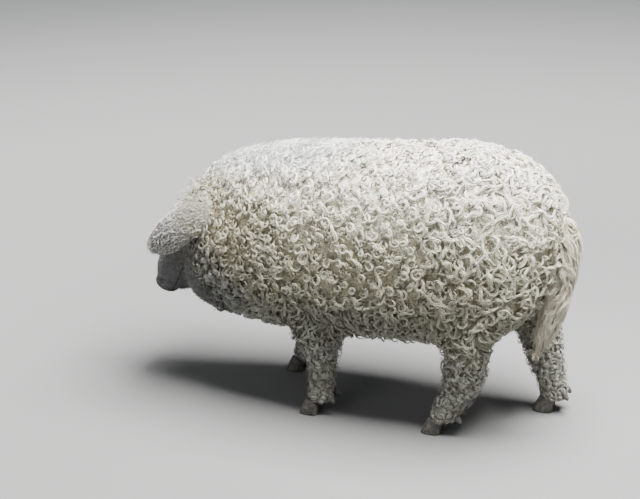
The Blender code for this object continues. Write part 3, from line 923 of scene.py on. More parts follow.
    def seat_eyes(self, points: Array) -> Array:
        """Seats the eyeballs in the head and shapes the lids round them.

        Args:
            points: Places of the skin's points.

        Returns:
            The places with lids.
        """
        head = on(self.parts, Part.HEAD)
        self.dark = np.zeros(len(points))
        for sign in SIDES.values():
            gaze, length, rise = eye_axes(sign)
            node = eye_centre(sign)
            share = fade(np.linalg.norm(points - node, axis=1), 0.017, 0.026) * 0.5 * head
            points = relax(points, self.edges, 16, share)
            away = points - node
            depth = away @ gaze
            far = np.hypot(away @ length, away @ rise)
            patch = head & (far < self.socket_reach) & (depth > -0.018) & (depth < 0.024)
            level = float(depth[patch & (far < self.socket_floor)].mean())
            centre = node + gaze * (level + self.eye_bulge - EYE_RADIUS)
            self.eyes[sign] = centre
            away = points - centre
            depth = away @ gaze
            a, b = away @ length, away @ rise
            ring = lid_ring(a, b)
            pull = np.where(patch & (np.abs(ring - 1.0) < 0.11), 1.0 / np.maximum(ring, 0.5) - 1.0, 0.0)
            points = points + length * (a * pull)[:, None] + rise * (b * pull)[:, None]
            ring, a, b = ring * (1.0 + pull), a * (1.0 + pull), b * (1.0 + pull)
            far = np.hypot(a, b)
            ball = np.sqrt(EYE_RADIUS ** 2 - np.minimum(far, 0.0115) ** 2)
            shut = smooth(ring, 0.90, 1.0)
            edge = self.lid_thickness * (0.55 + 0.45 * smooth(ring, 1.0, 1.22))
            lid = ball - self.lid_sink + (self.lid_sink + edge) * shut
            hold = fade(ring, 1.15, 2.7)
            brow = np.where(b > 0, 1.0, 0.5)
            crease = self.crease_depth * hump(ring, 1.72, 0.17) * brow
            pouch = self.pouch_height * hump(ring, 2.25, 0.30) * brow
            goal = depth + (lid - depth) * hold - crease + pouch
            cover = np.sqrt(np.maximum((EYE_RADIUS + self.lid_cover) ** 2 - far ** 2, 0.0))
            goal = np.where((ring > 1.02) & (far < EYE_RADIUS + 0.001), np.maximum(goal, cover), goal)
            self.dark = np.maximum(self.dark, fade(ring, 1.0, 1.22) * patch)
            points = points + gaze * ((goal - depth) * patch)[:, None]
        return points

    def shape_muzzle(self, points: Array, normals: Array) -> Array:
        """Adds nostrils, the snout's rolled rim, the folds over the bridge and the mouth.

        Args:
            points: Places of the skin's points.
            normals: Normals at those points.

        Returns:
            The places with the muzzle's shapes.
        """
        back, up, out = along_head(points)
        muzzle = on(self.parts, *MUZZLE)
        front = muzzle & (back < 0.012) & (normals @ FACING > 0.35)
        moved = points.copy()
        for sign in SIDES.values():
            radius = np.sqrt((out - sign * self.nostril_reach) ** 2 + ((up - 0.002) / 1.25) ** 2)
            pit = fade(radius, self.nostril_radius * 0.62, self.nostril_radius * 1.12)
            lip = hump(radius / self.nostril_radius, 1.45, 0.30)
            moved -= FACING * ((self.nostril_depth * pit - self.nostril_lip * lip) * front)[:, None]
            # Painted shade: the nostrils are darkened as the shade inside them.
            self.dark = np.maximum(self.dark, pit * front)
        crown = np.sqrt((out / 0.035) ** 2 + (up / 0.039) ** 2)
        dish = self.snout_dish * hump(crown, 0.0, 0.55) * front
        moved -= FACING * dish[:, None]
        groove = hump(back, 0.024, 0.0045)
        rim = hump(back, 0.008, 0.006) * (normals @ FACING < 0.6)
        wander = ripple(points, 0.05, 3) * 0.004
        run = back + wander + 0.22 * np.sqrt(out * out + 0.0001)
        folds = np.sin(run * math.tau / self.fold_step + ripple(points, 0.04, 8) * 0.8)
        folds = folds * smooth(back, 0.028, 0.045) * fade(back, 0.075, 0.12) * smooth(up, -0.025, 0.01)
        folds = folds * (0.55 + 0.45 * ripple(points, 0.05, 6))
        jaw = relax(on(self.parts, Part.JAW).astype(float), self.edges, 8)
        means = relax(np.stack([up, back, jaw, jaw * up, jaw * back], 1), self.edges, 5)
        over = means[:, 2] * means[:, 0] - means[:, 3]
        behind = means[:, 2] * means[:, 1] - means[:, 4]
        top = smooth(over / np.maximum(np.hypot(over, behind), 1e-9), 0.45, 0.85)
        top = relax(top, self.edges, 4)
        mouth = hump(jaw, 0.5, 0.24) * smooth(back, 0.002, 0.010) * top
        lips = hump(np.abs(jaw - 0.5), 0.38, 0.12) * smooth(back, 0.01, 0.02)
        lips = lips * top * (jaw > 0.01) * (jaw < 0.99)
        # Painted shade: the mouth's groove is darkened as the shade in it.
        self.dark = np.maximum(self.dark, 0.8 * mouth * muzzle)
        push = self.rim_height * rim - self.groove_depth * groove + self.fold_height * folds
        push = (push - self.mouth_depth * mouth + self.lip_height * lips) * muzzle
        return moved + normals * push[:, None]

    def build(self, markings: NodeTree) -> None:
        """Makes the skin and keeps its arrays for the coat.

        Args:
            markings: The group of marking colours.
        """
        self.obj = self.fuse()
        self.refine(self.obj)
        self.points, self.edges, self.triangles = shape_arrays(self.obj.data)
        self.label()
        stiff = on(self.parts, Part.EAR, Part.SNOUT, Part.FOOT, Part.TAIL)
        share = relax(np.where(stiff, 0.35, 0.50), self.edges, 3)
        points = relax(self.points, self.edges, 5, share * np.where(stiff, 0.4, 1.0))
        points = polish(points, self.edges, 14, share)
        self.depth = self.coat_depth()
        outer = relax(point_normals(points, self.triangles), self.edges, 3)
        points = points - unit(outer) * self.depth[:, None]
        points = polish(points, self.edges, 6, share)
        points = self.seat_eyes(points)
        self.points = self.shape_muzzle(points, point_normals(points, self.triangles))
        set_points(self.obj.data, self.points)
        self.obj.data.update()
        self.normals = unit(relax(point_normals(self.points, self.triangles), self.edges, 5))
        self.tree = BVHTree.FromPolygons(self.points.tolist(), self.triangles.tolist())
        self.dress(markings)

    def dress(self, markings: NodeTree) -> None:
        """Gives the skin its finish and the bare places their mark."""
        back, _, _ = along_head(self.points)
        bare = on(self.parts, *MUZZLE) * fade(back, 0.16, 0.26)
        bare = np.maximum(bare, on(self.parts, Part.EAR) * 0.3)
        bare = relax(bare, self.edges, 4)
        set_mark(self.obj.data, "bare", bare)
        set_mark(self.obj.data, "dark", self.dark)
        self.obj.data.materials.clear()
        self.obj.data.materials.append(Hide().material(markings))
        self.obj.data.polygons.foreach_set("use_smooth", [True] * len(self.obj.data.polygons))
        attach(self.obj, BODY)
        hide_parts(*self.flesh())


# ---------------------------------------------------------------- coat


@dataclass
class Spots:
    """Places on the skin where locks grow."""

    place: Array
    normal: Array
    depth: Array
    part: Array

    def chosen(self, keep: Array) -> "Spots":
        """Returns only some of the places."""
        return Spots(self.place[keep], self.normal[keep], self.depth[keep], self.part[keep])


class Outline(Enum):
    """How a lock's core narrows: width at the root, where it is full, and the taper's two powers."""

    ROUND = (0.60, 0.25, 3.2, 0.75)
    FLAME = (0.60, 0.22, 1.4, 0.8)
    BLUNT = (0.70, 0.30, 6.0, 0.5)


@dataclass(frozen=True)
class LockStyle:
    """Shape of one kind of lock. Lengths are in metres, turns in whole turns, the rest in shares."""

    name: str
    spacing: float
    length: Span
    strands: int
    rings: int
    half_width: float
    turns: Span = (0.0, 0.0)
    pack: float = 0.002
    late: float = 1.5
    wave: float = 0.0
    waves: float = 0.0
    rise: float = 0.35
    crown: Span = (0.65, 1.0)
    roll: float = 0.0
    tuck: float = 0.25
    outline: Outline = Outline.ROUND
    free: bool = False
    stray: float = 0.6
    core: float = 0.0
    core_sides: int = 3
    core_flatness: float = 0.62
    # How light a lock's core is kept under its strands: painted shade inside the lock.
    shaded_core_light: float = 0.3
    lumps: float = 0.12
    sway: float = 0.5
    follow: bool = True
    seed: int = 1


Rule = Callable[[Spots], Array]


class Unwrap:
    """Unwrap of the skin's own shape: each part of the body is cut open and laid in its own strip."""

    strips = {
        (Part.TRUNK,): (0.01, 0.01, 0.60, 0.98),
        MUZZLE: (0.63, 0.01, 0.18, 0.45),
        (Part.LEG, Part.FOOT): (0.63, 0.48, 0.36, 0.50),
        (Part.EAR,): (0.83, 0.01, 0.16, 0.22),
        (Part.TAIL,): (0.83, 0.25, 0.16, 0.20),
    }

    def lay(self, spots: Spots) -> Array:
        """Finds where places of the skin lie on the unwrap.

        Args:
            spots: The places.

        Returns:
            Two coordinates from 0 to 1 for each place.
        """
        result = np.zeros((len(spots.place), 2))
        for members, (x0, y0, wide, high) in self.strips.items():
            mine = on(spots.part, *members)
            q, n = spots.place[mine], spots.normal[mine]
            turn = np.arctan2(n[:, 1], n[:, 0]) / math.tau + 0.5
            if Part.TRUNK in members:
                u = (q[:, 0] + 0.56) / 1.13
                v = np.arctan2(q[:, 1], 0.48 - q[:, 2]) / math.tau + 0.5
            elif Part.HEAD in members:
                back, up, out = along_head(q)
                u = (back + 0.02) / 0.40
                v = np.arctan2(out, up + 0.02) / math.tau + 0.5
            elif Part.LEG in members:
                leg = (q[:, 0] > 0.08) * 2 + (q[:, 1] > 0)
                u = (leg + turn * 0.96 + 0.02) / 4.0
                v = q[:, 2] / 0.26
            elif Part.EAR in members:
                u = (q[:, 2] - 0.28) / 0.34 * 0.5 + (q[:, 1] > 0) * 0.5
                v = (q[:, 0] + 0.62) / 0.30 * 0.5 + (n[:, 1] * np.sign(q[:, 1]) > 0) * 0.5
            else:
                u = (q[:, 2] - 0.20) / 0.45
                v = turn
            result[mine, 0] = x0 + np.clip(u, 0.0, 1.0) * wide
            result[mine, 1] = y0 + np.clip(v, 0.0, 1.0) * high
        return result


@dataclass
class Tubes:
    """Closed tapered tubes that share one pattern of faces, so many to each lock."""

    points: Array
    sides: int
    rings: int
    girth: float

    def between(self, first: int, last: int) -> "Tubes":
        """Returns the tubes of some of the locks."""
        return Tubes(self.points[first:last], self.sides, self.rings, self.girth)

    def cost(self) -> int:
        """Returns the number of triangles in one lock."""
        return self.points.shape[1] * (2 * self.sides * (self.rings - 1) + 2 * self.sides - 2)

    def marks(self) -> tuple[Array, Array]:
        """Returns how far along and how far round each point of one tube is, from 0 to 1."""
        along = np.append(np.repeat(np.arange(self.rings), self.sides), self.rings) / self.rings
        turn = np.append(np.tile(np.arange(self.sides), self.rings), 0) / self.sides
        return along, turn

    def faces(self) -> tuple[Array, Array]:
        """Lists the faces of one tube, facing outwards.

        Returns:
            The point numbers of all corners, and how many corners each face has.
        """
        sides, rings, points = self.sides, self.rings, self.points[0, 0]
        loops: list[tuple[int, ...]] = [tuple(range(sides))[::-1]]
        for r in range(rings - 1):
            for k in range(sides):
                m = (k + 1) % sides
                loops.append((r * sides + k, r * sides + m, (r + 1) * sides + m, (r + 1) * sides + k))
        last, tip = (rings - 1) * sides, rings * sides
        loops.extend((last + k, last + (k + 1) % sides, tip) for k in range(sides))
        middle = points.mean(0)
        volume = 0.0
        for face in loops:
            for k in range(1, len(face) - 1):
                a, b, c = points[face[0]] - middle, points[face[k]] - middle, points[face[k + 1]] - middle
                volume += float(a @ np.cross(b, c))
        if volume < 0:
            loops = [face[::-1] for face in loops]
        return np.array([i for face in loops for i in face]), np.array([len(face) for face in loops])


@dataclass
class Fleece:
    """The coat: locks of solid strands that grow from the skin and follow its lie."""

    skin: Skin
    unwrap: Unwrap = field(default_factory=Unwrap)
    pieces: list[bpy.types.Object] = field(default_factory=list)
    triangles: int = 0
    tries: float = 2.6
    root_sink: float = 0.002
    least_height: float = 0.0012
    tail_rows: Array = field(init=False)
    tail_tree: BVHTree = field(init=False)

    def __post_init__(self) -> None:
        """Keeps the tail's own surface apart, so that its locks never jump to a leg."""
        skin = self.skin
        self.tail_rows = np.flatnonzero(on(skin.parts[skin.triangles[:, 0]], Part.TAIL))
        self.tail_tree = BVHTree.FromPolygons(skin.points.tolist(), skin.triangles[self.tail_rows].tolist())

    def scatter(self, spacing: float, weight: Rule, seed: int) -> Spots:
        """Spreads places over the skin no closer to each other than a spacing.

        Args:
            spacing: Least distance between two places.
            weight: Gives the share of places to keep at each spot.
            seed: Number that fixes the random order.

        Returns:
            The places.
        """
        rng = np.random.default_rng(seed)
        skin = self.skin
        corners = skin.triangles
        a, b, c = (skin.points[corners[:, k]] for k in range(3))
        area = np.linalg.norm(np.cross(b - a, c - a), axis=1) / 2.0
        middle = Spots((a + b + c) / 3.0, unit(skin.normals[corners].mean(1)), skin.depth[corners].mean(1),
                       skin.parts[corners[:, 0]])
        area = area * np.sqrt(np.clip(weight(middle), 0.0, 1.0))
        total = area.sum()
        count = int(total / spacing ** 2 * self.tries)
        chosen = rng.choice(len(area), count, p=area / total)
        r1, r2 = np.sqrt(rng.random(count)), rng.random(count)
        shares = np.stack([1.0 - r1, r1 * (1.0 - r2), r1 * r2], 1)
        tri = corners[chosen]
        place = (skin.points[tri] * shares[:, :, None]).sum(1)
        cells = np.floor(place / spacing).astype(int)
        taken: dict[tuple[int, ...], list[list[float]]] = {}
        keep: list[int] = []
        limit = spacing * spacing
        around = list(itertools.product((-1, 0, 1), repeat=3))
        for i, ((cx, cy, cz), (x, y, z)) in enumerate(zip(cells.tolist(), place.tolist())):
            near = (spot for i0, j0, k0 in around for spot in taken.get((cx + i0, cy + j0, cz + k0), ()))
            if all((x - ox) ** 2 + (y - oy) ** 2 + (z - oz) ** 2 >= limit for ox, oy, oz in near):
                taken.setdefault((cx, cy, cz), []).append([x, y, z])
                keep.append(i)
        order = np.array(keep)
        normal = unit((skin.normals[tri[order]] * shares[order][:, :, None]).sum(1))
        depth = (skin.depth[tri[order]] * shares[order]).sum(1)
        return Spots(place[order], normal, depth, skin.parts[tri[order, 0]])

    def lie(self, spots: Spots) -> Array:
        """Finds the direction that the hair lies in.

        Args:
            spots: Places on the skin.

        Returns:
            A unit direction along the skin for each place.
        """
        p = spots.place
        z = p[:, 2]
        drop = 0.20 + 1.3 * fade(z, 0.34, 0.64) + 0.35 * fade(p[:, 0], -0.40, -0.15)
        way = np.stack([np.ones(len(p)), np.zeros(len(p)), -drop], 1)
        leg = fade(z, 0.20, 0.30)[:, None] * (np.abs(spots.normal[:, 2]) < 0.75)[:, None]
        way = way * (1.0 - leg) + np.array([0.15, 0.0, -1.0]) * leg
        head = on(spots.part, *MUZZLE)
        back, _, _ = along_head(p)
        cheek = smooth(back, 0.16, 0.30)[:, None]
        way = np.where(head[:, None], -FACING * (1.0 - cheek) + np.array([0.7, 0.0, -0.5]) * cheek, way)
        for side, sign in SIDES.items():
            mine = on(spots.part, Part.EAR) & (p[:, 1] * sign > 0)
            way = np.where(mine[:, None], ear_run(side), way)
        tail = on(spots.part, Part.TAIL)
        start = smooth(z, 0.50, 0.60)[:, None]
        hang = np.array([-0.15, 0.0, -1.0]) * (1 - start) + np.array([0.8, 0, -0.6]) * start
        way = np.where(tail[:, None], hang, way)
        for sign in SIDES.values():
            away = p - self.skin.eyes[sign]
            near = fade(np.linalg.norm(away, axis=1), 0.017, 0.030)[:, None] * head[:, None]
            way = unit(way) * (1.0 - near) + unit(away) * near
        flat = way - spots.normal * (way * spots.normal).sum(1, keepdims=True)
        weak = np.linalg.norm(flat, axis=1) < 0.05
        flat[weak] = np.cross(spots.normal[weak], ACROSS)
        return unit(flat)

    def paths(self, style: LockStyle, spots: Spots, rng: np.random.Generator) -> tuple[Array, ...]:
        """Draws the middle line of each lock over the skin.

        Args:
            style: Kind of lock.
            spots: Places where the locks grow.
            rng: Source of random numbers.

        Returns:
            Points, side directions and up directions, for each lock and each ring.
        """
        count, rings, fine = len(spots.place), style.rings, 4
        way = self.lie(spots)
        cross = np.cross(spots.normal, way)
        heading = ripple(spots.place, 0.11, style.seed) * style.sway
        heading = heading + rng.normal(0, 0.35, count) * style.sway
        sense = np.where(rng.random(count) < 0.5, -1.0, 1.0)
        turns = rng.uniform(*style.turns, count) * sense
        length = rng.uniform(*style.length, count)
        phase = rng.uniform(0.0, math.tau, count)
        u = np.linspace(0.0, 1.0, rings * fine + 1)
        curl = turns[:, None] * math.tau * u[None] ** style.late
        swing = style.wave * np.sin(math.tau * style.waves * u[None] + phase[:, None])
        start = heading - sense * np.abs(turns) * 0.9 * (style.turns[1] > 0.6)
        angle = start[:, None] + curl + swing
        step = length[:, None] / (rings * fine)
        x = np.cumsum(np.cos(angle), 1) * step
        y = np.cumsum(np.sin(angle), 1) * step
        zero = np.zeros((count, 1))
        x, y, angle = (np.concatenate([zero, v[:, :-1]], 1)[:, ::fine] for v in (x, y, angle))
        middle = spots.place[:, None] + way[:, None] * x[..., None] + cross[:, None] * y[..., None]
        up = np.repeat(spots.normal[:, None], rings + 1, 1)
        if style.follow:
            flat = middle.reshape(-1, 3)
            tree = self.tail_tree if style.free else self.skin.tree
            found = [tree.find_nearest(p) for p in flat.tolist()]
            seat = np.array([tuple(f[0]) for f in found]).reshape(count, rings + 1, 3)
            if style.free:
                beyond = np.clip(((middle - seat) * way[:, None]).sum(-1), 0.0, 0.03)
                seat = seat + way[:, None] * beyond[..., None]
            middle = seat
            rows = np.array([f[2] for f in found])
            rows = self.tail_rows[rows] if style.free else rows
            local = self.skin.normals[self.skin.triangles[rows]].mean(1)
            up = unit(local.reshape(count, rings + 1, 3))
        s = np.linspace(0.0, 1.0, rings + 1)[None]
        crown = rng.uniform(*style.crown, count)[:, None] * spots.depth[:, None]
        height = crown * smooth(s, 0.0, style.rise) * (1.0 - style.tuck * smooth(s, 0.65, 1.0))
        loop = length / np.maximum(math.tau * np.abs(turns), 3.0)
        lean = rng.uniform(0.0, math.tau, count)
        height = height + style.roll * (loop[:, None] * np.sin(angle + lean[:, None])) * smooth(s, 0.1, 0.4)
        most = np.maximum(crown * 1.02, spots.depth[:, None] * 1.06)
        height = np.clip(height, self.least_height, most)
        height[:, 0] = -self.root_sink
        line = middle + up * height[..., None]
        run = np.gradient(line, axis=1)
        side = unit(np.cross(run, up))
        over = unit(np.cross(side, run))
        return line, side, over

    def core(self, style: LockStyle, run: tuple[Array, ...], rng: np.random.Generator) -> Tubes:
        """Works out the matted core of every lock.

        Args:
            style: Kind of lock.
            run: Middle line, side directions and up directions.
            rng: Source of random numbers.

        Returns:
            One ridged tube for each lock.
        """
        line, side, over = run
        count, rings, sides = len(line), style.rings, style.core_sides
        s = np.linspace(0.0, 1.0, rings + 1)
        root, full, power, ease = style.outline.value
        width = (root + (1.0 - root) * smooth(s, 0.0, full)) * np.maximum(1.0 - s ** power, 0.0) ** ease
        lump = 1.0 + style.lumps * rng.normal(0.0, 1.0, (count, rings + 1))
        ridge = rng.uniform(0.80, 1.20, (count, 1, sides))
        wide = style.core * (width * lump)[:, :, None] * ridge * rng.uniform(0.8, 1.15, (count, 1, 1))
        turn = math.pi / 2.0 + math.tau * np.arange(sides) / sides
        b, n = wide * np.cos(turn), wide * np.sin(turn) * style.core_flatness
        ring = line[:, :, None] + side[:, :, None] * b[..., None] + over[:, :, None] * n[..., None]
        body = ring[:, :-1].reshape(count, 1, rings * sides, 3)
        return Tubes(np.concatenate([body, line[:, None, -1:]], 2), sides, rings, 2.6)

    def strands(self, style: LockStyle, run: tuple[Array, ...], rng: np.random.Generator) -> Tubes:
        """Works out every point of every thin strand.

        Args:
            style: Kind of lock.
            run: Middle line, side directions and up directions.
            rng: Source of random numbers.

        Returns:
            The strands of each lock.
        """
        count, many, rings = len(run[0]), style.strands, style.rings
        s = np.linspace(0.0, 1.0, rings + 1)
        reach = rng.uniform(0.84, 1.0, (count, many, 1)) * s[None, None]
        index = np.clip(reach * rings, 0.0, rings - 1e-6)
        low = index.astype(int)
        part = (index - low)[..., None]
        lock = np.arange(count)[:, None, None]
        middle, sideways, above = (v[lock, low] * (1 - part) + v[lock, low + 1] * part for v in run)
        row = np.arange(many) - (many - 1) / 2.0
        bow = 1.0 - (2.0 * row / max(many - 1, 1)) ** 2
        spread = (0.45 + 0.55 * smooth(s, 0.0, 0.3)) * (1.0 - 0.55 * smooth(s, 0.55, 1.0))
        wander = rng.normal(0, 0.35, (count, many, 1))
        wander = wander * np.sin(math.tau * s + rng.uniform(0, math.tau, (count, many, 1)))
        across = (row[None, :, None] + rng.normal(0, 0.18, (count, many, 1)) + wander) * style.pack * spread
        across = across + rng.normal(0, 1, (count, many, 1)) * style.stray * style.pack * s ** 2
        lifted = bow[None, :, None] * (style.pack * 0.45 + style.core * style.core_flatness) * spread
        lifted = lifted + rng.normal(0, 0.5, (count, many, 1)) * style.pack * smooth(s, 0.15, 0.5)
        width = (0.60 + 0.40 * smooth(s, 0.0, 0.25)) * np.maximum(1.0 - s ** 3, 0.0) ** 0.7
        wide = style.half_width * width[None, None] * rng.uniform(0.75, 1.2, (count, many, 1))
        turn = math.pi / 2.0 + math.tau * np.arange(STRAND_SIDES) / STRAND_SIDES
        b = across[..., None] + wide[..., None] * np.cos(turn)
        n = lifted[..., None] + wide[..., None] * STRAND_FLATNESS * np.sin(turn)
        ring = middle[..., None, :] + sideways[..., None, :] * b[..., None]
        ring = ring + above[..., None, :] * n[..., None]
        tip = ring[:, :, -1].mean(2)
        body = ring[:, :, :-1].reshape(count, many, rings * STRAND_SIDES, 3)
        return Tubes(np.concatenate([body, tip[:, :, None]], 2), STRAND_SIDES, rings, 0.5)

    def grow(self, style: LockStyle, weight: Rule, wool: Material,
             slot: str = "coat", shade: Rule | None = None) -> None:
        """Grows one kind of lock wherever it belongs.

        Args:
            style: Kind of lock.
            weight: Gives the share of places to keep at each spot.
            wool: Finish of the locks.
            slot: Name of a slot for the finish; not used.
            shade: Gives how light the hair is at each spot, by the hair's own tone and by painted shade, or
                None for evenly light.
        """
        rng = np.random.default_rng(style.seed * 977 + 5)
        spots = self.scatter(style.spacing, weight, style.seed)
        order = np.argsort(spots.place[:, 0], kind="stable")
        spots = spots.chosen(order)
        run = self.paths(style, spots, rng)
        sets: list[Tubes] = []
        if style.core:
            sets.append(self.core(style, run, rng))
        if style.strands:
            sets.append(self.strands(style, run, rng))
        count = len(spots.place)
        tubes_each = bool(style.core) + style.strands
        # Random tone of each tube; painted shade is multiplied into the same values below.
        tint_and_shade = rng.random((count, 1)) * 0.5 + rng.random((count, tubes_each)) * 0.5
        # Painted shade: the core is darker than the strands over it.
        if style.core and style.strands:
            tint_and_shade[:, 0] *= style.shaded_core_light
        # The shade rule: the hair's own tone, and painted shade at some places.
        if shade:
            tint_and_shade = tint_and_shade * np.clip(shade(spots), 0.0, 1.0)[:, None]
        base = self.unwrap.lay(spots)
        per_lock = sum(tubes.cost() for tubes in sets)
        chunk = max(1, PIECE_LIMIT // per_lock)
        chunks = math.ceil(count / chunk)
        edges = np.linspace(0, count, chunks + 1).astype(int)
        for number, (first, last) in enumerate(zip(edges[:-1], edges[1:]), 1):
            part = [tubes.between(first, last) for tubes in sets]
            self.piece(f"{style.name}_{number}", part, tint_and_shade[first:last], base[first:last], wool)
        self.triangles += per_lock * count
        LOG.info("%s: %d locks, %d triangles in %d pieces", style.name, count, per_lock * count, chunks)

    def piece(self, name: str, sets: list[Tubes], tint_and_shade: Array, base: Array,
              wool: Material) -> None:
        """Makes one object from sets of tubes.

        Args:
            name: Name of the object.
            sets: The tubes.
            tint_and_shade: How light each tube of each lock is, by its random tone and by painted shade.
            base: Place of each lock on the unwrap.
            wool: Finish.
        """
        start, first = 0, 0
        rows: defaultdict[str, list[Array]] = defaultdict(list)
        for tubes in sets:
            count, many, size = tubes.points.shape[:3]
            strands = count * many
            corners, lengths = tubes.faces()
            loops = (corners[None] + (np.arange(strands) * size)[:, None]).ravel()
            ring, turn = tubes.marks()
            along = np.tile(ring, strands)
            round_it = np.tile(turn, strands)
            own = np.repeat(np.arange(strands) * 7.3 % 91.0, size)
            angle = math.tau * (round_it + 0.6 * along)
            girth = tubes.girth
            grain = np.stack([np.cos(angle) * girth, np.sin(angle) * girth, along * 1.3 + own], 1)
            patch = np.repeat(base, many * size, 0) + PATCH * (np.stack([along, round_it], 1) - 0.5)
            rows["co"].append(tubes.points.reshape(-1, 3))
            rows["loops"].append(loops + start)
            rows["totals"].append(np.tile(lengths, strands))
            rows["along"].append(along)
            rows["tint_and_shade"].append(np.repeat(tint_and_shade[:, first:first + many].reshape(-1), size))
            first += many
            rows["grain"].append(grain)
            rows["uv"].append(np.clip(patch[loops], 0.0, 1.0))
            start += strands * size
        joined = {key: np.concatenate(values) for key, values in rows.items()}
        totals = joined["totals"]
        mesh = bpy.data.meshes.new(name)
        mesh.vertices.add(start)
        mesh.vertices.foreach_set("co", joined["co"].astype(np.float32).ravel())
        mesh.loops.add(len(joined["loops"]))
        mesh.loops.foreach_set("vertex_index", joined["loops"].astype(np.int32))
        mesh.polygons.add(len(totals))
        mesh.polygons.foreach_set("loop_start", (np.cumsum(totals) - totals).astype(np.int32))
        mesh.polygons.foreach_set("loop_total", totals.astype(np.int32))
        mesh.polygons.foreach_set("use_smooth", np.ones(len(totals), bool))
        mesh.update(calc_edges=True)
        for key in ("along", "tint_and_shade", "grain"):
            set_mark(mesh, key, joined[key])
        layer = mesh.uv_layers.new(name="OFBake")
        layer.data.foreach_set("uv", joined["uv"].astype(np.float32).ravel())
        mesh.materials.append(wool)
        made = bpy.data.objects.new(name, mesh)
        bpy.context.scene.collection.objects.link(made)
        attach(made, BODY)
        self.pieces.append(made)


class Zones:
    """Shares of each kind of lock over the body, with the stretches over which each zone fades in."""

    POLL: Span = (0.20, 0.27)              # behind the snout, along the head
    CURL_GAP: Span = (0.030, 0.040)        # from the middle of an eye
    HAIR_GAP: Span = (0.015, 0.022)
    BELLY: Span = (0.30, 0.38)             # height
    CROUP: Span = (0.24, 0.36)             # along the body
    HAM: Span = (0.36, 0.48)               # height
    TAIL_GAP: Span = (0.0, 0.020)          # from the tail
    TAIL_WALL = 0.004
    CREST_FRONT: Span = (-0.45, -0.38)     # along the body
    CREST_BACK: Span = (-0.12, 0.02)
    CREST_SIDE: Span = (0.06, 0.12)        # from the middle plane
    SHOULDER: Span = (-0.28, -0.12)        # along the body
    CHEEK: Span = (0.11, 0.17)             # behind the snout
    CHEEK_TOP: Span = (0.020, 0.050)       # above the snout's middle
    CHEEK_BACK: Span = (0.26, 0.34)
    THROAT_BACK: Span = (-0.24, -0.16)     # along the body
    THROAT_TOP: Span = (0.37, 0.42)        # height
    LEG_TOP: Span = (0.20, 0.26)
    CLAW_TOP: Span = (0.045, 0.06)
    RIM: Span = (0.012, 0.05)              # behind the snout
    FACE_BACK: Span = (0.26, 0.32)
    EAR_ROOT: Span = (-0.475, -0.40)       # along the body
    TAIL_TIP: Span = (0.24, 0.36)          # height

    @staticmethod
    def furry(s: Spots) -> Array:
        """Returns 1 where the long coat grows."""
        back, _, _ = along_head(s.place)
        head = on(s.part, *HEAD)
        poll = np.where(head, smooth(back, *Zones.POLL), 0.0)
        return np.where(on(s.part, Part.TRUNK), 1.0, poll) * Zones.clear(s, Zones.CURL_GAP)

    @classmethod
    def plain(cls, s: Spots) -> Array:
        """Returns 1 where the long coat grows above the legs."""
        return cls.furry(s) * (1 - cls.leg(s))

    @staticmethod
    def clear(s: Spots, gap: Span) -> Array:
        """Returns 0 close to the eyes."""
        gaps = [np.linalg.norm(s.place - centre_of(f"eye_{side}"), axis=1) for side in SIDES]
        return smooth(np.minimum(*gaps), *gap)

    @staticmethod
    def wobble(s: Spots) -> Array:
        """Returns a soft random shift of the borders between kinds."""
        return ripple(s.place, 0.07, 11) * 0.03

    @classmethod
    def low(cls, s: Spots) -> Array:
        """Returns 1 along the belly and lower sides."""
        return fade(s.place[:, 2] + cls.wobble(s), *cls.BELLY)

    @classmethod
    def rump(cls, s: Spots) -> Array:
        """Returns 1 over the croup and hams."""
        return smooth(s.place[:, 0] + cls.wobble(s), *cls.CROUP) * smooth(s.place[:, 2], *cls.HAM)

    @staticmethod
    def tail_gap_and_shade(s: Spots) -> Array:
        """Returns 0 right beside the tail, where its own locks hang; as a shade it darkens the rump's locks
        there with painted shade.
        """
        low, high = (np.array(corner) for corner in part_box("tail"))
        gap = np.maximum(low - Zones.TAIL_WALL - s.place, s.place - high).clip(0.0)
        return smooth(np.linalg.norm(gap, axis=1), *Zones.TAIL_GAP)

    @classmethod
    def crest(cls, s: Spots) -> Array:
        """Returns 1 along the top of the neck and shoulders."""
        x, y = s.place[:, 0] + cls.wobble(s), np.abs(s.place[:, 1])
        along = smooth(x, *cls.CREST_FRONT) * fade(x, *cls.CREST_BACK)
        return along * fade(y, *cls.CREST_SIDE) * (s.normal[:, 2] > 0.35)

    @classmethod
    def neck(cls, s: Spots) -> Array:
        """Returns 1 over the neck and cheeks."""
        return fade(s.place[:, 0] + cls.wobble(s), *cls.SHOULDER)

    @classmethod
    def jowl(cls, s: Spots) -> Array:
        """Returns 1 on the cheeks and jowls, where the curls are small."""
        back, up, _ = along_head(s.place)
        start = back - 0.5 * np.minimum(up, 0.0) + cls.wobble(s) * 0.5
        side = on(s.part, *HEAD) * smooth(start, *cls.CHEEK) * fade(up, *cls.CHEEK_TOP)
        return side * fade(back, *cls.CHEEK_BACK) * cls.clear(s, cls.CURL_GAP)

    @classmethod
    def throat(cls, s: Spots) -> Array:
        """Returns 1 under the neck, where the coat is caked."""
        x, z = s.place[:, 0], s.place[:, 2] + cls.wobble(s)
        edge = z + 0.45 * np.maximum(x + 0.36, 0.0)
        under = fade(x, *cls.THROAT_BACK) * fade(edge, *cls.THROAT_TOP)
        return under * np.maximum(cls.furry(s) - cls.leg(s), 0)

    @staticmethod
    def leg(s: Spots) -> Array:
        """Returns 1 on the legs down to the claws."""
        z = s.place[:, 2]
        upper = on(s.part, Part.TRUNK) * fade(z, *Zones.LEG_TOP) * (np.abs(s.normal[:, 2]) < 0.8)
        return np.maximum(on(s.part, Part.LEG, Part.FOOT) * smooth(z, *Zones.CLAW_TOP), upper)

